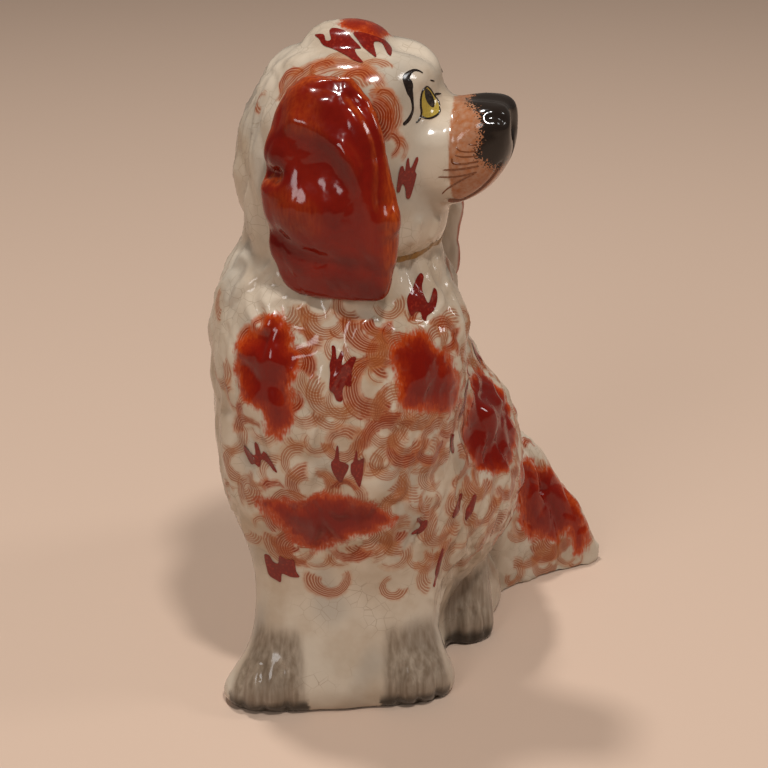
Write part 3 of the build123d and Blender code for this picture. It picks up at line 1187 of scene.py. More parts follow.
@dataclass
class FigureBody:
    """Trunk, head and hind paw, luted together and smoothed over before the glaze."""

    skin: Skin = field(default_factory=lambda: Skin(
        "figure_body",
        ("trunk_display_pressing", "trunk_back_pressing", "head_face_pressing", "head_back_pressing",
         "hind_paw"),
        "white_glaze", 1.35, 5, ("base_slab",)))
    locks: Locks = Locks((13.0, 13.0, 27.0), 2.5, 0.55, 3.1, (16.0, 16.0, 22.0), 7.3, 6.0)
    ridge_size: Size = (8.0, 8.0, 24.0)
    ridge_height: float = 1.1
    leg_height: float = 78.0
    wall_side_y: float = 60.0
    wall_side_loss: float = 0.45  # share of the relief that the wall side lacks
    foot_recess: float = 14.0
    chest_bulges: Marks = (
        (268, 362, 12.0, 2.4), (272, 325, 8.0, 1.8), (243, 350, 7.0, 1.6), (425, 372, 13.0, 2.6),
        (448, 378, 8.0, 1.8), (325, 520, 15.0, 2.0), (372, 388, 9.0, 1.2), (487, 425, 14.0, 3.0),
        (300, 470, 9.0, 1.4), (258, 480, 9.0, 1.6), (430, 445, 9.0, 1.6), (345, 470, 8.0, 1.0),
    )
    paw_bulges: Marks = ((265, 684, 17.0, 3.0), (419, 680, 17.0, 3.0), (470, 622, 12.0, 1.5))
    face_bulges: Marks = (
        (432, 96, 21.0, -4.2), (429, 104, 6.5, 1.3), (425, 84, 8.0, 1.0), (492, 118, 8.0, 1.0),
        (462, 165, 10.0, 1.0),
    )
    toe_grooves: tuple[Marks, ...] = (
        ((247, 668), (243, 686), (242, 708)), ((264, 664), (263, 686), (264, 712)),
        ((283, 668), (285, 690), (287, 712)), ((402, 668), (400, 686), (399, 706)),
        ((417, 665), (418, 686), (419, 706)), ((433, 668), (436, 686), (438, 703)),
        ((459, 612), (458, 626), (457, 640)), ((472, 610), (472, 626), (473, 639)),
        ((484, 608), (486, 622), (487, 634)),
    )
    web_edges: tuple[Marks, ...] = (
        ((318, 600), (320, 650), (322, 700)), ((372, 600), (371, 650), (370, 700)),
    )
    throat_folds: tuple[Marks, ...] = (
        ((418, 223), (415, 232), (413, 240)), ((437, 222), (435, 230), (432, 236)),
    )
    # Each groove on both sides of the face: its marks, half-width and height
    face_grooves: tuple[tuple[Marks, float, float], ...] = (
        (((449, 200), (462, 200), (480, 190), (493, 177), (500, 165)), 1.1, -1.3),
        (((490, 118), (497, 117), (503, 120)), 2.0, -1.2),
        (((451, 96), (453, 118), (450, 150), (449, 180)), 2.2, -0.8),
    )

    def build(self) -> Surface:
        """Grows and models the body.

        Returns:
            The modelled surface.
        """
        surface = self.skin.grow()
        self.seat_on_slab(surface)
        tool = Modeller(surface)
        self.model_coat(tool)
        self.model_legs(tool)
        self.model_face(tool)
        tool.finish()
        return surface

    def seat_on_slab(self, surface: Surface) -> None:
        """Lifts the middle of the underside, so that the foot slab and its vent show from below.

        Args:
            surface: the body.
        """
        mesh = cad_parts["base_slab"].data
        slab = tree_of(mesh, fetch(mesh.vertices, "co") / MM)
        points = surface.points.copy()
        for index in np.flatnonzero(points[:, 2] < 1.0):
            x, y, _ = points[index]
            if slab.ray_cast(Vector((x, y, -5.0)), Vector(UP))[0] is not None:
                points[index, 2] += self.foot_recess
        surface.write(points)

    def relief(self, surface: Surface) -> np.ndarray:
        """Gives each point's share of the coat's relief: none on the face and the legs, less by the wall.

        Args:
            surface: the body.

        Returns:
            The shares.
        """
        x, y, z = surface.points.T
        forward = (surface.points - HEAD_CENTRE) @ HEAD_FORWARD
        legs = soft_step(-64, -50, x) * soft_step(14, 40, z)
        trunk = 1 - self.wall_side_loss * soft_step(self.wall_side_y - 6, self.wall_side_y + 6, y)
        trunk *= np.maximum(soft_step(self.leg_height - 14, self.leg_height + 12, z), legs)
        head = soft_step(206, 220, z)
        hair = 0.9 * soft_step(10, -8, forward) * (1 - 0.6 * soft_step(276, 292, z))
        return trunk * (1 - head) + head * hair

    def model_coat(self, tool: Modeller) -> None:
        """Models the locks, the finer ridges over them and the swellings of the chest.

        Args:
            tool: what models the body.
        """
        points = tool.surface.points
        folds = np.abs(grain(self.locks.bent(points), self.ridge_size, 9.7))
        ridges = self.ridge_height * (1 - np.minimum(1, folds * 3.0) - 0.4)
        tool.lift += self.relief(tool.surface) * (self.locks.lift(points) + ridges)
        for bulge in self.chest_bulges:
            tool.mound(P, *bulge)

    def model_legs(self, tool: Modeller) -> None:
        """Parts the toes, sinks the web between the forelegs and brings the paws forward.

        Args:
            tool: what models the body.
        """
        for groove in self.toe_grooves:
            tool.track(P, groove, 1.6, -1.5)
        for edge in self.web_edges:
            tool.track(P, edge, 9.0, -1.8)
        for bulge in self.paw_bulges:
            tool.mound(P, *bulge)

    def model_face(self, tool: Modeller) -> None:
        """Models the eyes, the muzzle and the mouth on both sides, and the throat.

        Args:
            tool: what models the body.
        """
        for bulge in self.face_bulges:
            tool.mound(P, *bulge, mirrored=True)
        tool.track(View.FACE, ((0, 298), (0, 288), (0, 276), (0, 266)), 8.0, -3.5)
        tool.track(View.FACE, ((0, 262), (0, 250), (0, 238)), 1.2, -1.2)
        for groove in self.face_grooves:
            tool.track(P, *groove, mirrored=True)
        for fold in self.throat_folds:
            tool.track(P, fold, 2.4, 1.3)


@dataclass
class Ear:
    """One hanging ear: a heavy leaf of clay, folded and lobed."""

    skin: Skin
    near: bool
    locks: Locks = Locks((12.0, 12.0, 20.0), 0.8, 0.6, 6.4)
    # Each fold: its marks, half-width and height
    folds: tuple[tuple[Marks, float, float], ...] = (
        (((258, 172), (267, 173), (275, 175)), 3.4, -4.2),
        (((264, 230), (280, 240), (300, 253), (325, 263), (350, 270)), 4.4, -1.7),
        (((298, 124), (318, 132), (333, 143), (349, 163), (363, 193), (371, 222), (372, 250)), 4.4, 2.2),
        (((352, 97), (366, 118), (377, 145), (381, 175), (380, 200), (383, 228)), 2.6, -1.4),
        (((270, 262), (290, 280), (320, 290), (360, 292)), 5.0, -0.9),
    )
    near_bulges: Marks = (
        (305, 110, 17.0, 3.0), (286, 202, 17.0, 3.6), (312, 222, 18.0, 2.6), (326, 170, 13.0, -2.2),
        (280, 148, 12.0, 1.8), (391, 222, 9.0, 2.2), (386, 262, 8.0, 1.4), (345, 190, 11.0, -0.8),
    )
    far_bulges: Marks = (
        (40, 270, 11.0, 1.6), (44, 245, 11.0, 2.0), (48, 215, 11.0, 2.2), (46, 190, 11.0, 1.6),
    )

    def build(self) -> Surface:
        """Grows and models the ear.

        Returns:
            The modelled surface.
        """
        surface = self.skin.grow()
        tool = Modeller(surface)
        tool.lift += self.locks.lift(surface.points)
        for fold in self.folds if self.near else ():
            tool.track(P, *fold)
        for bulge in self.near_bulges if self.near else self.far_bulges:
            tool.mound(P if self.near else View.FACE, *bulge)
        tool.finish()
        self.dress(surface, tool.lift)
        return surface

    def dress(self, surface: Surface, lift: np.ndarray) -> None:
        """Keeps where the enamel is thin, on ridges and round the rim, and where the far ear has none.

        Args:
            surface: the modelled ear.
            lift: how far each point was raised.
        """
        forward = (surface.points - HEAD_CENTRE) @ HEAD_FORWARD
        sideways = surface.normals @ HEAD_SIDE
        front = soft_step(forward.max() - 9, forward.max() - 2, forward)
        rim = np.maximum(front, soft_step(0.75, 0.3, np.abs(sideways)))
        keep(surface.body, "thin", np.clip(0.85 * rim + 0.3 * soft_step(1.2, 3.4, lift), 0, 1))
        inner = 0.15 * grain(surface.points, (5.0, 5.0, 9.0), 1.7) - sideways
        keep(surface.body, "bare", np.zeros(len(lift)) if self.near else soft_step(0.25, 0.55, inner))


@dataclass
class Tail:
    """The plume of the tail, laid round over the display side."""

    skin: Skin = field(default_factory=lambda: Skin("tail_skin", ("tail",), "white_glaze", 0.9, 4))
    locks: Locks = Locks((13.0, 13.0, 22.0), 1.6, 0.55, 2.2)
    # Each groove: its marks, half-width and height
    grooves: tuple[tuple[Marks, float, float], ...] = (
        (((520, 440), (533, 456), (543, 472), (546, 490)), 2.6, -2.4),
        (((515, 470), (524, 500), (530, 530), (528, 560)), 2.8, -1.6),
        (((545, 492), (556, 515), (562, 540), (560, 566)), 2.4, -1.4),
    )

    def build(self) -> Surface:
        """Grows and models the tail.

        Returns:
            The modelled surface.
        """
        surface = self.skin.grow()
        tool = Modeller(surface)
        tool.lift += self.locks.lift(surface.points)
        for groove in self.grooves:
            tool.track(P, *groove)
        tool.finish()
        return surface


# The painting


def all_of(kind: type, view: View, rows: tuple, **settings: bool | float) -> tuple:
    """Makes patches, strokes or fills of one kind in one view, one for each row of marks."""
    return tuple(kind(view, row, **settings) for row in rows)


def combs(view: View, rows: Marks) -> tuple[Comb, ...]:
    """Makes combs: each row holds the middle, two radii, first angle, sweep and strength."""
    return tuple(Comb(view, *row) for row in rows)


COMBS = combs(P, (
    (295, 366, 3, 22, -40, 140, 0.9), (329, 414, 5, 19, 180, 190, 0.25), (324, 328, 8, 23, 140, 130, 0.5),
    (315, 304, 5, 21, 180, 180, 0.3), (339, 328, 3, 14, 190, 160, 0.45), (251, 340, 2, 17, 90, 190, 0.85),
    (234, 395, 4, 18, 100, 190, 0.5), (248, 432, 5, 21, 20, 170, 0.65), (376, 390, 9, 34, 55, 245, 0.75),
    (371, 322, 7, 31, 165, 150, 0.7), (399, 355, 3, 23, 10, 190, 0.6), (448, 332, 7, 21, 250, 140, 0.9),
    (391, 438, 11, 31, 70, 130, 0.8), (403, 430, 3, 15, 20, 160, 0.5), (241, 482, 4, 29, -70, 130, 0.3),
    (252, 480, 14, 18, 230, 100, 0.9), (309, 484, 4, 25, 90, 170, 0.55), (314, 491, 8, 29, -20, 110, 0.35),
    (300, 547, 4, 28, 80, 210, 0.7), (340, 555, 5, 18, 160, 150, 0.25), (266, 525, 5, 17, 80, 130, 0.25),
    (373, 501, 18, 43, -25, 55, 0.35), (365, 540, 9, 25, 200, 150, 0.5), (410, 446, 8, 27, 140, 170, 0.8),
    (435, 447, 4, 23, 170, 200, 0.8), (381, 444, 15, 30, 130, 90, 0.5), (456, 482, 2, 9, 0, 360, 0.4),
    (431, 555, 5, 23, 180, 190, 0.35), (480, 473, 4, 17, 90, 180, 0.6), (486, 508, 5, 24, 200, 180, 0.5),
    (500, 490, 3, 18, 180, 180, 0.6), (470, 455, 3, 14, 150, 200, 0.7), (378, 115, 4, 26, -40, 150, 0.55),
    (396, 150, 3, 14, -60, 170, 0.5), (392, 182, 3, 17, -80, 170, 0.7), (394, 205, 2, 14, -90, 160, 0.6),
    (322, 112, 44, 70, 25, 130, 0.6), (283, 110, 3, 14, 90, 170, 0.6), (345, 92, 12, 31, 20, 150, 0.35),
    (377, 70, 4, 17, 20, 200, 0.35), (340, 60, 3, 16, 10, 170, 0.25), (310, 75, 3, 14, 40, 190, 0.3),
    (552, 535, 4, 33, 200, 150, 0.7), (555, 515, 8, 30, -40, 110, 0.55), (530, 448, 3, 15, 20, 170, 0.85),
    (541, 462, 4, 13, -70, 130, 0.7), (512, 575, 3, 14, 150, 180, 0.3), (575, 560, 3, 13, 200, 180, 0.4),
    (359, 82, 3, 18, 10, 220, 0.8), (291, 82, 5, 17, 30, 200, 0.8), (323, 70, 3, 15, 20, 200, 0.75),
    (262, 104, 3, 12, 60, 200, 0.5), (374, 123, 6, 29, -60, 150, 0.9), (389, 143, 3, 15, -80, 170, 0.8),
    (384, 100, 3, 13, -40, 190, 0.7), (262, 330, 4, 16, 60, 190, 0.9), (300, 345, 4, 17, -70, 170, 0.95),
    (289, 400, 4, 15, -90, 150, 0.95), (244, 415, 4, 14, 100, 170, 0.9), (392, 336, 4, 15, 90, 170, 0.95),
    (452, 345, 4, 13, -60, 170, 0.9), (392, 398, 4, 15, 110, 160, 0.95), (446, 412, 4, 14, -90, 170, 0.9),
    (272, 492, 4, 16, 20, 150, 0.9), (344, 490, 4, 17, 20, 150, 0.85), (286, 542, 5, 18, 170, 160, 0.9),
    (352, 546, 6, 24, 190, 150, 0.8), (392, 534, 5, 20, 220, 130, 0.8), (430, 500, 5, 18, 120, 160, 0.5),
    (300, 520, 26, 40, 150, 70, 0.7), (420, 320, 4, 14, 30, 160, 0.85), (377, 318, 5, 20, 200, 140, 0.9),
))

# Combs round the patches of the display side, the haunch, the rump and the tail
SIDE_COMBS = combs(D, (
    (-84, 176, 2, 9, 60, 200, 0.7), (-62, 178, 2, 9, -60, 190, 0.7), (-52, 160, 2, 9, -90, 200, 0.6),
    (-58, 140, 2, 10, 200, 190, 0.7), (-80, 138, 2, 10, 160, 190, 0.6), (-40, 176, 2, 8, 0, 190, 0.4),
    (-30, 128, 2, 10, 80, 200, 0.75), (-12, 140, 2, 9, 20, 200, 0.7), (8, 132, 2, 10, -20, 190, 0.7),
    (12, 112, 2, 10, -100, 190, 0.7), (-10, 92, 3, 11, 190, 190, 0.7), (-32, 100, 2, 10, 140, 190, 0.6),
    (40, 118, 2, 9, 40, 200, 0.6), (56, 100, 2, 9, -30, 200, 0.6), (44, 84, 2, 10, 190, 190, 0.7),
    (22, 88, 2, 8, 120, 200, 0.6), (-48, 96, 2, 8, 60, 220, 0.4), (-56, 76, 2, 8, 180, 200, 0.45),
    (0, 62, 2, 9, 200, 180, 0.4), (24, 56, 2, 8, 180, 200, 0.35), (-30, 196, 2, 7, 30, 200, 0.4),
    (66, 66, 2, 9, 60, 200, 0.6), (84, 50, 2, 8, -40, 200, 0.6), (86, 28, 2, 9, -90, 190, 0.6),
    (66, 16, 2, 9, 180, 190, 0.6), (56, 34, 2, 8, 120, 190, 0.5), (-18, 152, 2, 8, 90, 220, 0.4),
)) + combs(R, (
    (20, 110, 2, 9, 60, 200, 0.5), (8, 90, 2, 9, 160, 200, 0.6), (26, 84, 2, 9, -60, 200, 0.5),
    (12, 60, 2, 9, 180, 190, 0.5), (-4, 130, 2, 8, 40, 200, 0.4), (16, 150, 2, 8, 60, 200, 0.4),
    (4, 176, 2, 8, 120, 200, 0.5), (18, 190, 2, 7, -40, 200, 0.4),
))

PATCHES = all_of(Patch, P, (
    ((272, 314), (284, 320), (291, 332), (293, 345), (299, 356), (296, 372), (290, 386), (292, 405),
     (288, 425), (280, 440), (270, 432), (262, 412), (249, 405), (241, 390), (238, 368), (238, 346),
     (247, 334), (258, 330)),
    ((405, 338), (419, 331), (434, 345), (448, 359), (458, 379), (458, 399), (449, 410), (429, 408),
     (405, 409), (399, 389), (397, 369), (392, 353)),
    ((256, 501), (280, 500), (300, 503), (318, 497), (340, 496), (360, 501), (374, 506), (388, 515),
     (398, 518), (386, 526), (372, 530), (350, 538), (330, 545), (310, 548), (297, 542), (285, 530),
     (270, 513)),
    ((470, 400), (485, 398), (497, 408), (506, 425), (509, 448), (503, 462), (488, 460), (474, 447),
     (469, 425)),
    ((518, 466), (530, 462), (541, 472), (547, 488), (548, 505), (556, 515), (562, 530), (556, 541),
     (541, 534), (530, 537), (522, 522), (519, 495)),
    ((549, 478), (560, 483), (574, 500), (585, 520), (588, 540), (580, 552), (572, 545), (567, 528),
     (558, 512), (551, 495)),
)) + all_of(Patch, D, (
    ((-30, 132), (-14, 140), (4, 136), (12, 122), (6, 104), (-10, 96), (-28, 102), (-36, 118)),
    ((34, 112), (48, 112), (56, 98), (52, 84), (38, 82), (28, 92), (28, 104)),
    ((66, 52), (78, 56), (84, 44), (82, 26), (70, 20), (62, 32)),
), reach=60.0) + all_of(Patch, R, (
    ((8, 108), (20, 112), (28, 98), (24, 78), (10, 72), (2, 88)),
    ((2, 168), (14, 178), (22, 170), (18, 156), (6, 152)),
), reach=60.0) + all_of(Patch, P, (
    ((345, 18), (360, 15), (382, 20), (390, 32), (376, 38), (358, 30), (346, 28)),
), reach=30.0)

MAROON_STROKES = all_of(Stroke, P, (
    ((417, 518, 3), (422, 524, 6), (418, 530, 6), (411, 534, 3)),
    ((427, 520, 5), (422, 527, 9), (417, 534, 3)),
    ((453, 434, 7), (452, 443, 9), (453, 453, 6)),
    ((443, 548, 3), (440, 560, 6), (437, 572, 7), (434, 587, 6)),
    ((461, 493, 5), (459, 503, 10), (456, 512, 10), (453, 518, 3)),
    ((475, 494, 5), (472, 505, 9), (468, 514, 9), (466, 520, 3)),
)) + all_of(Stroke, D, (
    ((-20, 158, 1.5), (-16, 152, 2.6), (-17, 146, 2.6), (-13, 141, 1.0)),
    ((22, 76, 1.5), (25, 71, 2.8), (23, 65, 2.8), (26, 60, 1.0)),
    ((30, 78, 1.5), (31, 72, 2.6), (30, 67, 1.0)),
))

# The jagged marks that the painter sets between the patches, each a few touches of a full brush
MAROON_MARKS = all_of(Fill, P, (
    ((331.6, 346), (335.5, 347), (337, 359), (341.4, 351), (343.4, 355), (342.4, 365), (351.3, 357),
     (356.3, 358), (352.3, 369), (351, 386), (345.8, 385), (342.8, 389), (342, 400.7), (336.5, 400.3),
     (333, 393), (329.2, 389), (330, 373), (329.2, 365), (331.6, 355)),
    ((336.5, 446), (338.5, 447), (339.5, 460), (343.4, 462), (348.4, 465), (347.8, 470), (344.4, 476),
     (341.8, 482), (339, 481.4), (334.5, 475), (331.6, 468), (331.2, 462), (334.5, 458)),
    ((355.9, 450.6), (357.3, 451), (358.3, 460), (363.2, 457.7), (363.8, 462), (362.8, 474), (360.2, 486),
     (358.3, 485.8), (354.3, 478), (350.9, 472), (350.9, 464), (353.3, 461)),
    ((264.9, 554), (269.3, 555), (273.2, 561), (278.2, 563), (279.2, 556), (283, 557), (288, 559.3),
     (294, 560), (296.4, 571), (299.5, 576.7), (292, 577), (286, 574.8), (282, 573.8), (281, 581.7),
     (276.2, 579.7), (269.3, 574.8), (266.7, 566.8), (264.9, 559)),
    ((244.2, 445), (247.5, 448), (252.5, 454), (255.4, 454), (254.8, 442.3), (258, 444), (261.4, 454),
     (263.3, 451), (267.3, 454), (272.2, 462), (277.2, 472), (274.2, 471), (269.3, 464.6), (264.3, 460),
     (261.4, 460), (259.4, 467), (255.4, 464), (251.5, 464), (247.5, 457), (244.5, 450)),
    ((411.6, 290), (416, 279), (420.5, 273), (423.5, 277), (422, 287), (424.5, 297), (428, 303), (431, 296),
     (433.5, 288), (436.5, 291), (437, 300), (434, 310), (427, 316), (426, 321), (422.5, 319), (420, 312),
     (415, 312), (411.5, 316), (408.5, 311), (407, 300), (409, 294)),
    ((408.5, 158), (410.4, 168), (416, 157.3), (418.4, 159), (415, 171), (416.5, 174), (413.6, 186),
     (409.5, 198), (406, 197.5), (405, 188), (402.2, 184), (399.5, 191.7), (396.4, 190.8), (398.3, 174.5),
     (400.3, 167), (403, 166), (404.6, 171), (406.5, 160)),
    ((315, 35), (323.7, 34.5), (326, 40.5), (331, 39.6), (329.5, 31), (334.3, 28.2), (344.8, 31),
     (352.4, 38.7), (361, 48.3), (355, 49.2), (357, 55), (363, 62.6), (354.3, 60.7), (344.8, 55),
     (333.3, 49.2), (323.7, 45.4), (319, 38.7)),
    ((353.4, 33), (363.9, 33), (381, 38.7), (387, 42.5), (391.7, 49.2), (390.7, 56), (387, 53), (382, 43.6),
     (376.3, 41.6), (373.5, 44), (376.3, 57), (369.7, 53), (363, 47.3), (358.2, 40.6)),
)) + all_of(Fill, D, (
    ((-44, 150), (-41, 152), (-40, 146), (-37, 148), (-36, 142), (-38, 134), (-41, 137), (-43, 133),
     (-45, 141)),
    ((10, 152), (13, 153), (14, 148), (17, 149), (18, 143), (16, 136), (13, 139), (11, 137), (9, 144)),
))

BLACK_STROKES = all_of(Stroke, P, (
    ((423, 73, 1.5), (418, 70.5, 2), (413, 70.5, 2.5), (408, 74.5, 5), (406.5, 79, 8.5), (408.5, 85, 9.5),
     (409.5, 91, 7.5), (411.5, 97, 4.6), (412.5, 104, 3), (412.5, 111, 3), (409, 119, 3.6), (403, 125, 3)),
    ((427, 86, 1.6), (422.5, 91, 2), (420.9, 98, 2), (420.7, 106, 2), (421.4, 113, 2), (419, 120, 1.6),
     (415.4, 123, 1)),
    ((421.4, 116.5, 1.4), (426, 118.3, 1.6), (431, 118, 1.8), (437, 115, 1.8), (440, 111, 1.4),
     (439, 106, 1)),
    ((427, 86, 1.4), (431, 90, 1.8), (434, 95, 1.6), (438, 100, 1.4), (440, 106, 1.2)),
    ((434, 94.6, 2), (438, 93.8, 2), (441, 93.7, 1)),
    ((430, 80, 1.2), (432, 80.6, 1.4), (434.5, 81, 1)),
), mirrored=True)

NOSE_OUTLINE = ((471, 84), (469, 92), (468, 102), (475, 108), (480, 117), (481, 130), (480, 145), (476, 155),
                (486, 163), (499, 168), (512, 160), (530, 140), (532, 110), (524, 88), (500, 82))
PEACH_OUTLINE = (
    (455, 80), (454, 100), (451, 117), (448.5, 140), (448.5, 175), (452, 196), (462, 208), (535, 208),
    (535, 80),
)
EYE_OUTLINE = ((427, 87), (422.5, 93), (421.2, 100), (421, 107), (421.6, 114), (426, 117.6), (431, 117.5),
               (436.5, 114.6), (439.4, 110.5), (438.4, 104), (434.5, 97), (431, 91))
PUPIL_OUTLINE = ((425.5, 88.5), (424.5, 93), (425.5, 99), (428.5, 104.5), (432.5, 107.5), (434.2, 106),
                 (434.2, 101), (432, 95), (429, 90.5))

WHISKERS = all_of(Stroke, P, (
    ((448, 200, 5), (456, 201, 6), (462, 200, 6), (471, 195, 5), (480, 189, 4), (490, 180, 3),
     (500, 168, 2)),
    ((452, 158, 2.6), (453, 163, 2.4), (463, 164, 2.2), (478, 161.5, 1.8)),
    ((443, 170, 1.4), (455, 169.6, 2.2), (466, 168.4, 2.4), (479, 166, 2)),
    ((438, 177, 1.2), (451, 177, 2), (463, 175.5, 2.2), (477, 172, 2)),
    ((442, 194, 1.4), (447, 189, 2), (455, 184, 2.2), (463, 179.5, 2.2), (474, 174, 1.6)),
    ((455, 155, 1.2), (463, 157, 1.8), (478, 156, 1.6)),
    ((456, 147, 1), (460, 151, 1.6), (470, 152, 1.6), (478, 150, 1.4)),
    ((468, 144, 1), (474, 145, 1.4), (479, 143, 1.2)),
), mirrored=True)

GOLD_LINES = all_of(Stroke, P, (
    ((388.5, 260, 4), (396, 259.5, 5), (404, 258, 5.5), (413, 255.8, 5.2), (420, 253, 5), (427, 249, 4.6),
     (432, 244.8, 4.4), (437, 242.6, 4.2), (440, 242, 4)),
), mirrored=True)


def scattered(low: tuple[float, float], high: tuple[float, float], pitch: float, size: float,
              seed: int) -> Marks:
    """Gives faint combs in uneven rows, as the painter fills the coat between the patches.

    Args:
        low: the lower corner of the part of the view that they fill.
        high: its upper corner.
        pitch: the way from one to the next.
        size: their mean outer radius.
        seed: makes the unevenness the same each time.

    Returns:
        The combs' rows.
    """
    chance = random.Random(seed)
    out = []
    for row in range(int((high[1] - low[1]) / pitch)):
        for step in range(int((high[0] - low[0]) / pitch)):
            a = low[0] + pitch * (step + 0.5 * (row % 2) + chance.uniform(-0.3, 0.3))
            b = low[1] + pitch * (row + chance.uniform(-0.3, 0.3))
            outer = size * chance.uniform(0.75, 1.35)
            start = chance.choice((60.0, 120.0, 180.0, 200.0, 240.0)) + chance.uniform(-25, 25)
            sweep, tint = chance.uniform(150, 240), chance.uniform(0.1, 0.5)
            out.append((a, b, outer * 0.22, outer, start, sweep, tint))
    return tuple(out)


@dataclass(frozen=True)
class Films:
    """One piece of enamel: its strokes, its filled shapes and how thickly they lie."""

    name: str
    slot: str
    finish: Enamel
    strokes: tuple[Stroke, ...] = ()
    fills: tuple[Fill, ...] = ()
    layer: float = 1.0
    load: float = 1.0
    body_only: bool = False


PAINTED_FILMS = (
    Films("maroon_strokes", "russet_glaze", Enamel("maroon_enamel", "#6a0f06", "#842212"),
          MAROON_STROKES, MAROON_MARKS, layer=2.4),
    Films("eye_whites", "white_glaze", Enamel("yellow_enamel", "#a2893a", "#8c7530"),
          fills=(Fill(P, EYE_OUTLINE, True),)),
    Films("pupils", "white_glaze", Enamel("black_enamel_pupil", "#221a14", "#4a4038"),
          fills=(Fill(P, PUPIL_OUTLINE, True),), layer=1.5),
    Films("black_lines", "white_glaze", Enamel("black_enamel", "#1a120e", "#33261d"),
          BLACK_STROKES, layer=1.8, load=1.25),
    Films("whiskers", "russet_glaze", Enamel("brown_enamel", "#6b3a1e", "#845030"), WHISKERS),
    Films("gold_lines", "white_glaze", Enamel("burnt_gilding", "#8a6a3c", "#6f5228", 0.3, 0.6),
          GOLD_LINES, layer=2.0, load=1.5, body_only=True),
)


@dataclass
class Decoration:
    """All that is painted on the figure. The first of its skins is the body's."""

    skins: list[Surface]
    painted: list[Surface]
    film: float = 0.1
    paws: Marks = ((266, 680, 17.5), (419, 675, 16.0), (471, 592, 14.5))
    wash_height: float = 44.0
    toe_height: float = 14.0
    face_front: float = 30.0
    deepest_ink: float = 6.0
    no_ink: float = -20.0

    def lay_colours(self) -> None:
        """Lays the combs, the patches, the peach, the paw wash and the black on the glazed skins."""
        painters = [Painter(surface) for surface in self.painted]
        fillers = combs(P, scattered((228, 312), (470, 560), 31.0, 19.0, 4))
        fillers += combs(D, scattered((-96, 62), (60, 200), 13.0, 8.5, 9))
        fillers += combs(D, scattered((50, 8), (95, 75), 13.0, 8.0, 3))
        for brush in fillers + SIDE_COMBS + COMBS:
            hit = first_hit(self.skins, brush.view, brush.a, brush.b)
            if hit is None:
                log.info("comb at %s %s misses", brush.a, brush.b)
                continue
            for painter in painters:
                painter.comb(brush, *hit)
        for brush in PATCHES:
            hit = first_hit(self.skins, brush.view, *np.array(brush.outline).mean(axis=0))
            for painter in painters if hit is not None else ():
                painter.fill(brush, hit[0])
        for painter in painters:
            self.lay_tints(painter)
            painter.write()

    def lay_tints(self, painter: Painter) -> None:
        """Works out the peach, the paw wash, the dark toes, the black, and the blue-grey of the glaze in
        blots and towards the foot.

        Args:
            painter: what paints one skin.
        """
        points, z = painter.surface.points, painter.surface.points[:, 2]
        offset = points - HEAD_CENTRE
        flat = CAMERA.flatten(np.where((offset @ HEAD_SIDE > 0)[:, None], mirror(points), points))
        front = (z > HEAD_LOW) & (offset @ HEAD_FORWARD > self.face_front)
        nose = inside_by(flat, smooth_path(NOSE_OUTLINE, 3.0, closed=True)) * CAMERA.scale
        peach = inside_by(flat, np.array(PEACH_OUTLINE)) * CAMERA.scale
        wash, feet = self.paw_wash(points)
        toes = z + 1.6 * grain(points, (5.0, 5.0, 5.0), 4.4)
        blots = 0.42 * soft_step(0.0, 0.5, grain(points, (18.0, 18.0, 26.0), 12.5))
        painter.values["ink"] = np.clip(np.where(front, nose, self.no_ink), self.no_ink, self.deepest_ink)
        painter.values["peach"] = np.where(front, soft_step(-0.3, 0.3, peach), 0.0)
        painter.values["paw_wash"] = wash
        painter.values["toe"] = np.where(feet, 0.93 * (1 - soft_step(4.5, 10.0, toes)), 0.0)
        # the blue-grey share: random blots, plus up to 0.15 more over the lowest 90 mm, greyer and darker
        # towards the foot
        painter.values["blue_grey_share"] = np.clip(blots + 0.15 * (1 - soft_step(20, 90, z)), 0, 0.7)

    def paw_wash(self, points: np.ndarray) -> Hit:
        """Works out the grey down the front of each paw.

        Args:
            points: the points of a skin.

        Returns:
            How much grey wash each point has, and which of them are on a paw.
        """
        wash = np.zeros(len(points))
        feet = np.zeros(len(points), bool)
        tall = 1 - soft_step(self.wash_height - 10, self.wash_height, points[:, 2])
        for across, down, radius in self.paws:
            hit = first_hit(self.skins, P, across, down)
            if hit is not None:
                flat = np.linalg.norm((points - hit[0])[:, :2], axis=1)
                wash = np.maximum(wash, (1 - soft_step(radius - 3, radius + 2, flat)) * tall)
                feet |= (flat < radius + 1.5) & (points[:, 2] < self.toe_height)
        return wash, feet

    def lay_films(self) -> None:
        """Paints the strokes, the eyes, the whiskers and the gilding."""
        for films in PAINTED_FILMS:
            under = self.skins[:1] if films.body_only else self.skins
            enameller = Enameller(under, self.film * films.layer, films.load)
            for brush in films.fills:
                enameller.fill(brush)
            for brush in films.strokes:
                enameller.stroke(brush)
            enameller.make(films.name, films.finish.build())


@dataclass(frozen=True)
class Lamp:
    """A soft round lamp that looks at the figure, in metres and watts."""

    name: str
    place: Size
    size: float
    power: float
    target: Size = (-0.04, 0.0, 0.15)

    def build(self) -> None:
        """Adds the lamp."""
        light = bpy.data.lights.new(self.name, "AREA")
        light.shape = "DISK"
        light.size = self.size
        light.energy = self.power
        holder = bpy.data.objects.new(self.name, light)
        bpy.context.scene.collection.objects.link(holder)
        holder.location = self.place
        aim = Vector(self.target) - Vector(self.place)
        holder.rotation_euler = aim.to_track_quat("-Z", "Y").to_euler()


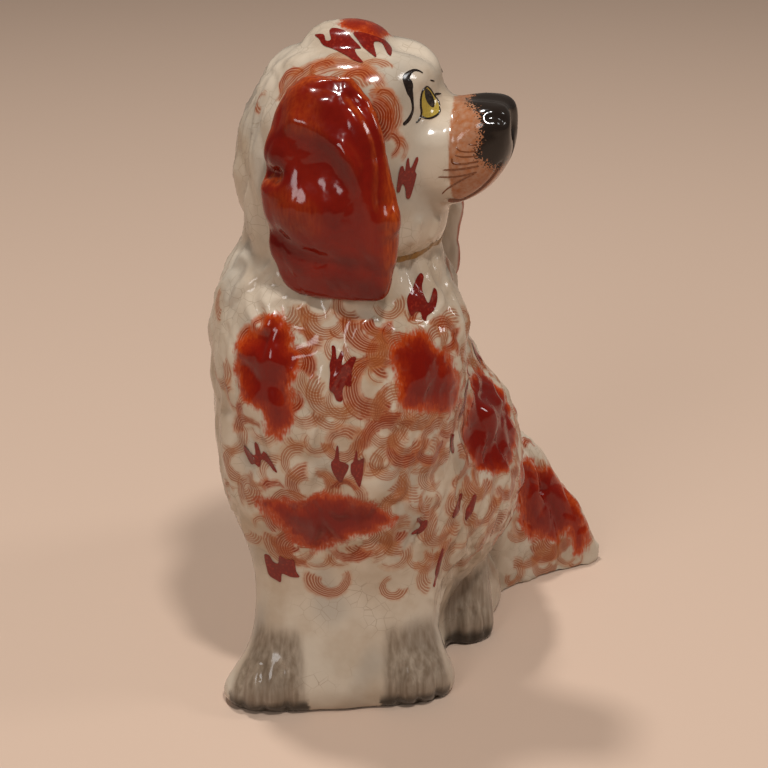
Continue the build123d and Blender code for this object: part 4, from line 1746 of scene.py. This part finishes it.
@dataclass
class Studio:
    """Floor, lamps and the light of the room, in metres and watts."""

    floor_size: float = 6.0
    floor_drop: float = 0.0002
    room: str = "#f0e2d6"
    room_strength: float = 0.17
    lamps: tuple[Lamp, ...] = (
        Lamp("front_lamp", (-0.9, -0.7, 2.3), 0.22, 30.0), Lamp("back_lamp", (0.15, 0.5, 2.4), 0.22, 26.0),
        Lamp("low_lamp", (-2.0, 0.3, 1.3), 0.9, 13.0), Lamp("side_lamp", (0.6, -2.2, 1.7), 0.6, 12.0),
    )

    def build(self) -> None:
        """Adds the stage, the lamps and the world."""
        bpy.ops.mesh.primitive_plane_add(size=self.floor_size, location=(0, 0, -self.floor_drop))
        floor = bpy.context.view_layer.objects.active
        floor.name = "table"
        floor.data.materials.append(StagePaper().build())
        for lamp in self.lamps:
            lamp.build()
        world = bpy.data.worlds.new("room")
        bpy.context.scene.world = world
        world.use_nodes = True
        ground = world.node_tree.nodes["Background"]
        ground.inputs["Color"].default_value = linear(self.room)
        ground.inputs["Strength"].default_value = self.room_strength
        bpy.context.scene.view_settings.view_transform = "Standard"


def main() -> None:
    """Builds the figure's skins, its painting, the stage and the camera."""
    logging.basicConfig(level=logging.INFO, format="%(message)s")
    glaze, russet, clay = PaintedGlaze().build(), RussetGlaze().build(), FiredClay().build()
    body = FigureBody().build()
    near_ear = Ear(Skin("near_ear_skin", ("near_ear",), "russet_glaze", 0.8, 4), True).build()
    far_ear = Ear(Skin("far_ear_skin", ("far_ear",), "russet_glaze", 0.8, 4), False).build()
    tail = Tail().build()
    for surface, finish in ((body, glaze), (tail, glaze), (near_ear, russet), (far_ear, russet)):
        surface.body.data.materials.append(finish)
        log.info("%s: %d points", surface.body.name, len(surface.points))
    for node in ("base_slab", "foot_luting_roll", "trunk_seam_roll", "neck_luting_roll"):
        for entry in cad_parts[node].material_slots:
            entry.material = clay
    decoration = Decoration([body, near_ear, far_ear, tail], [body, tail])
    decoration.lay_colours()
    decoration.lay_films()
    Studio().build()
    CAMERA.build()


if __name__ == "__main__":
    main()
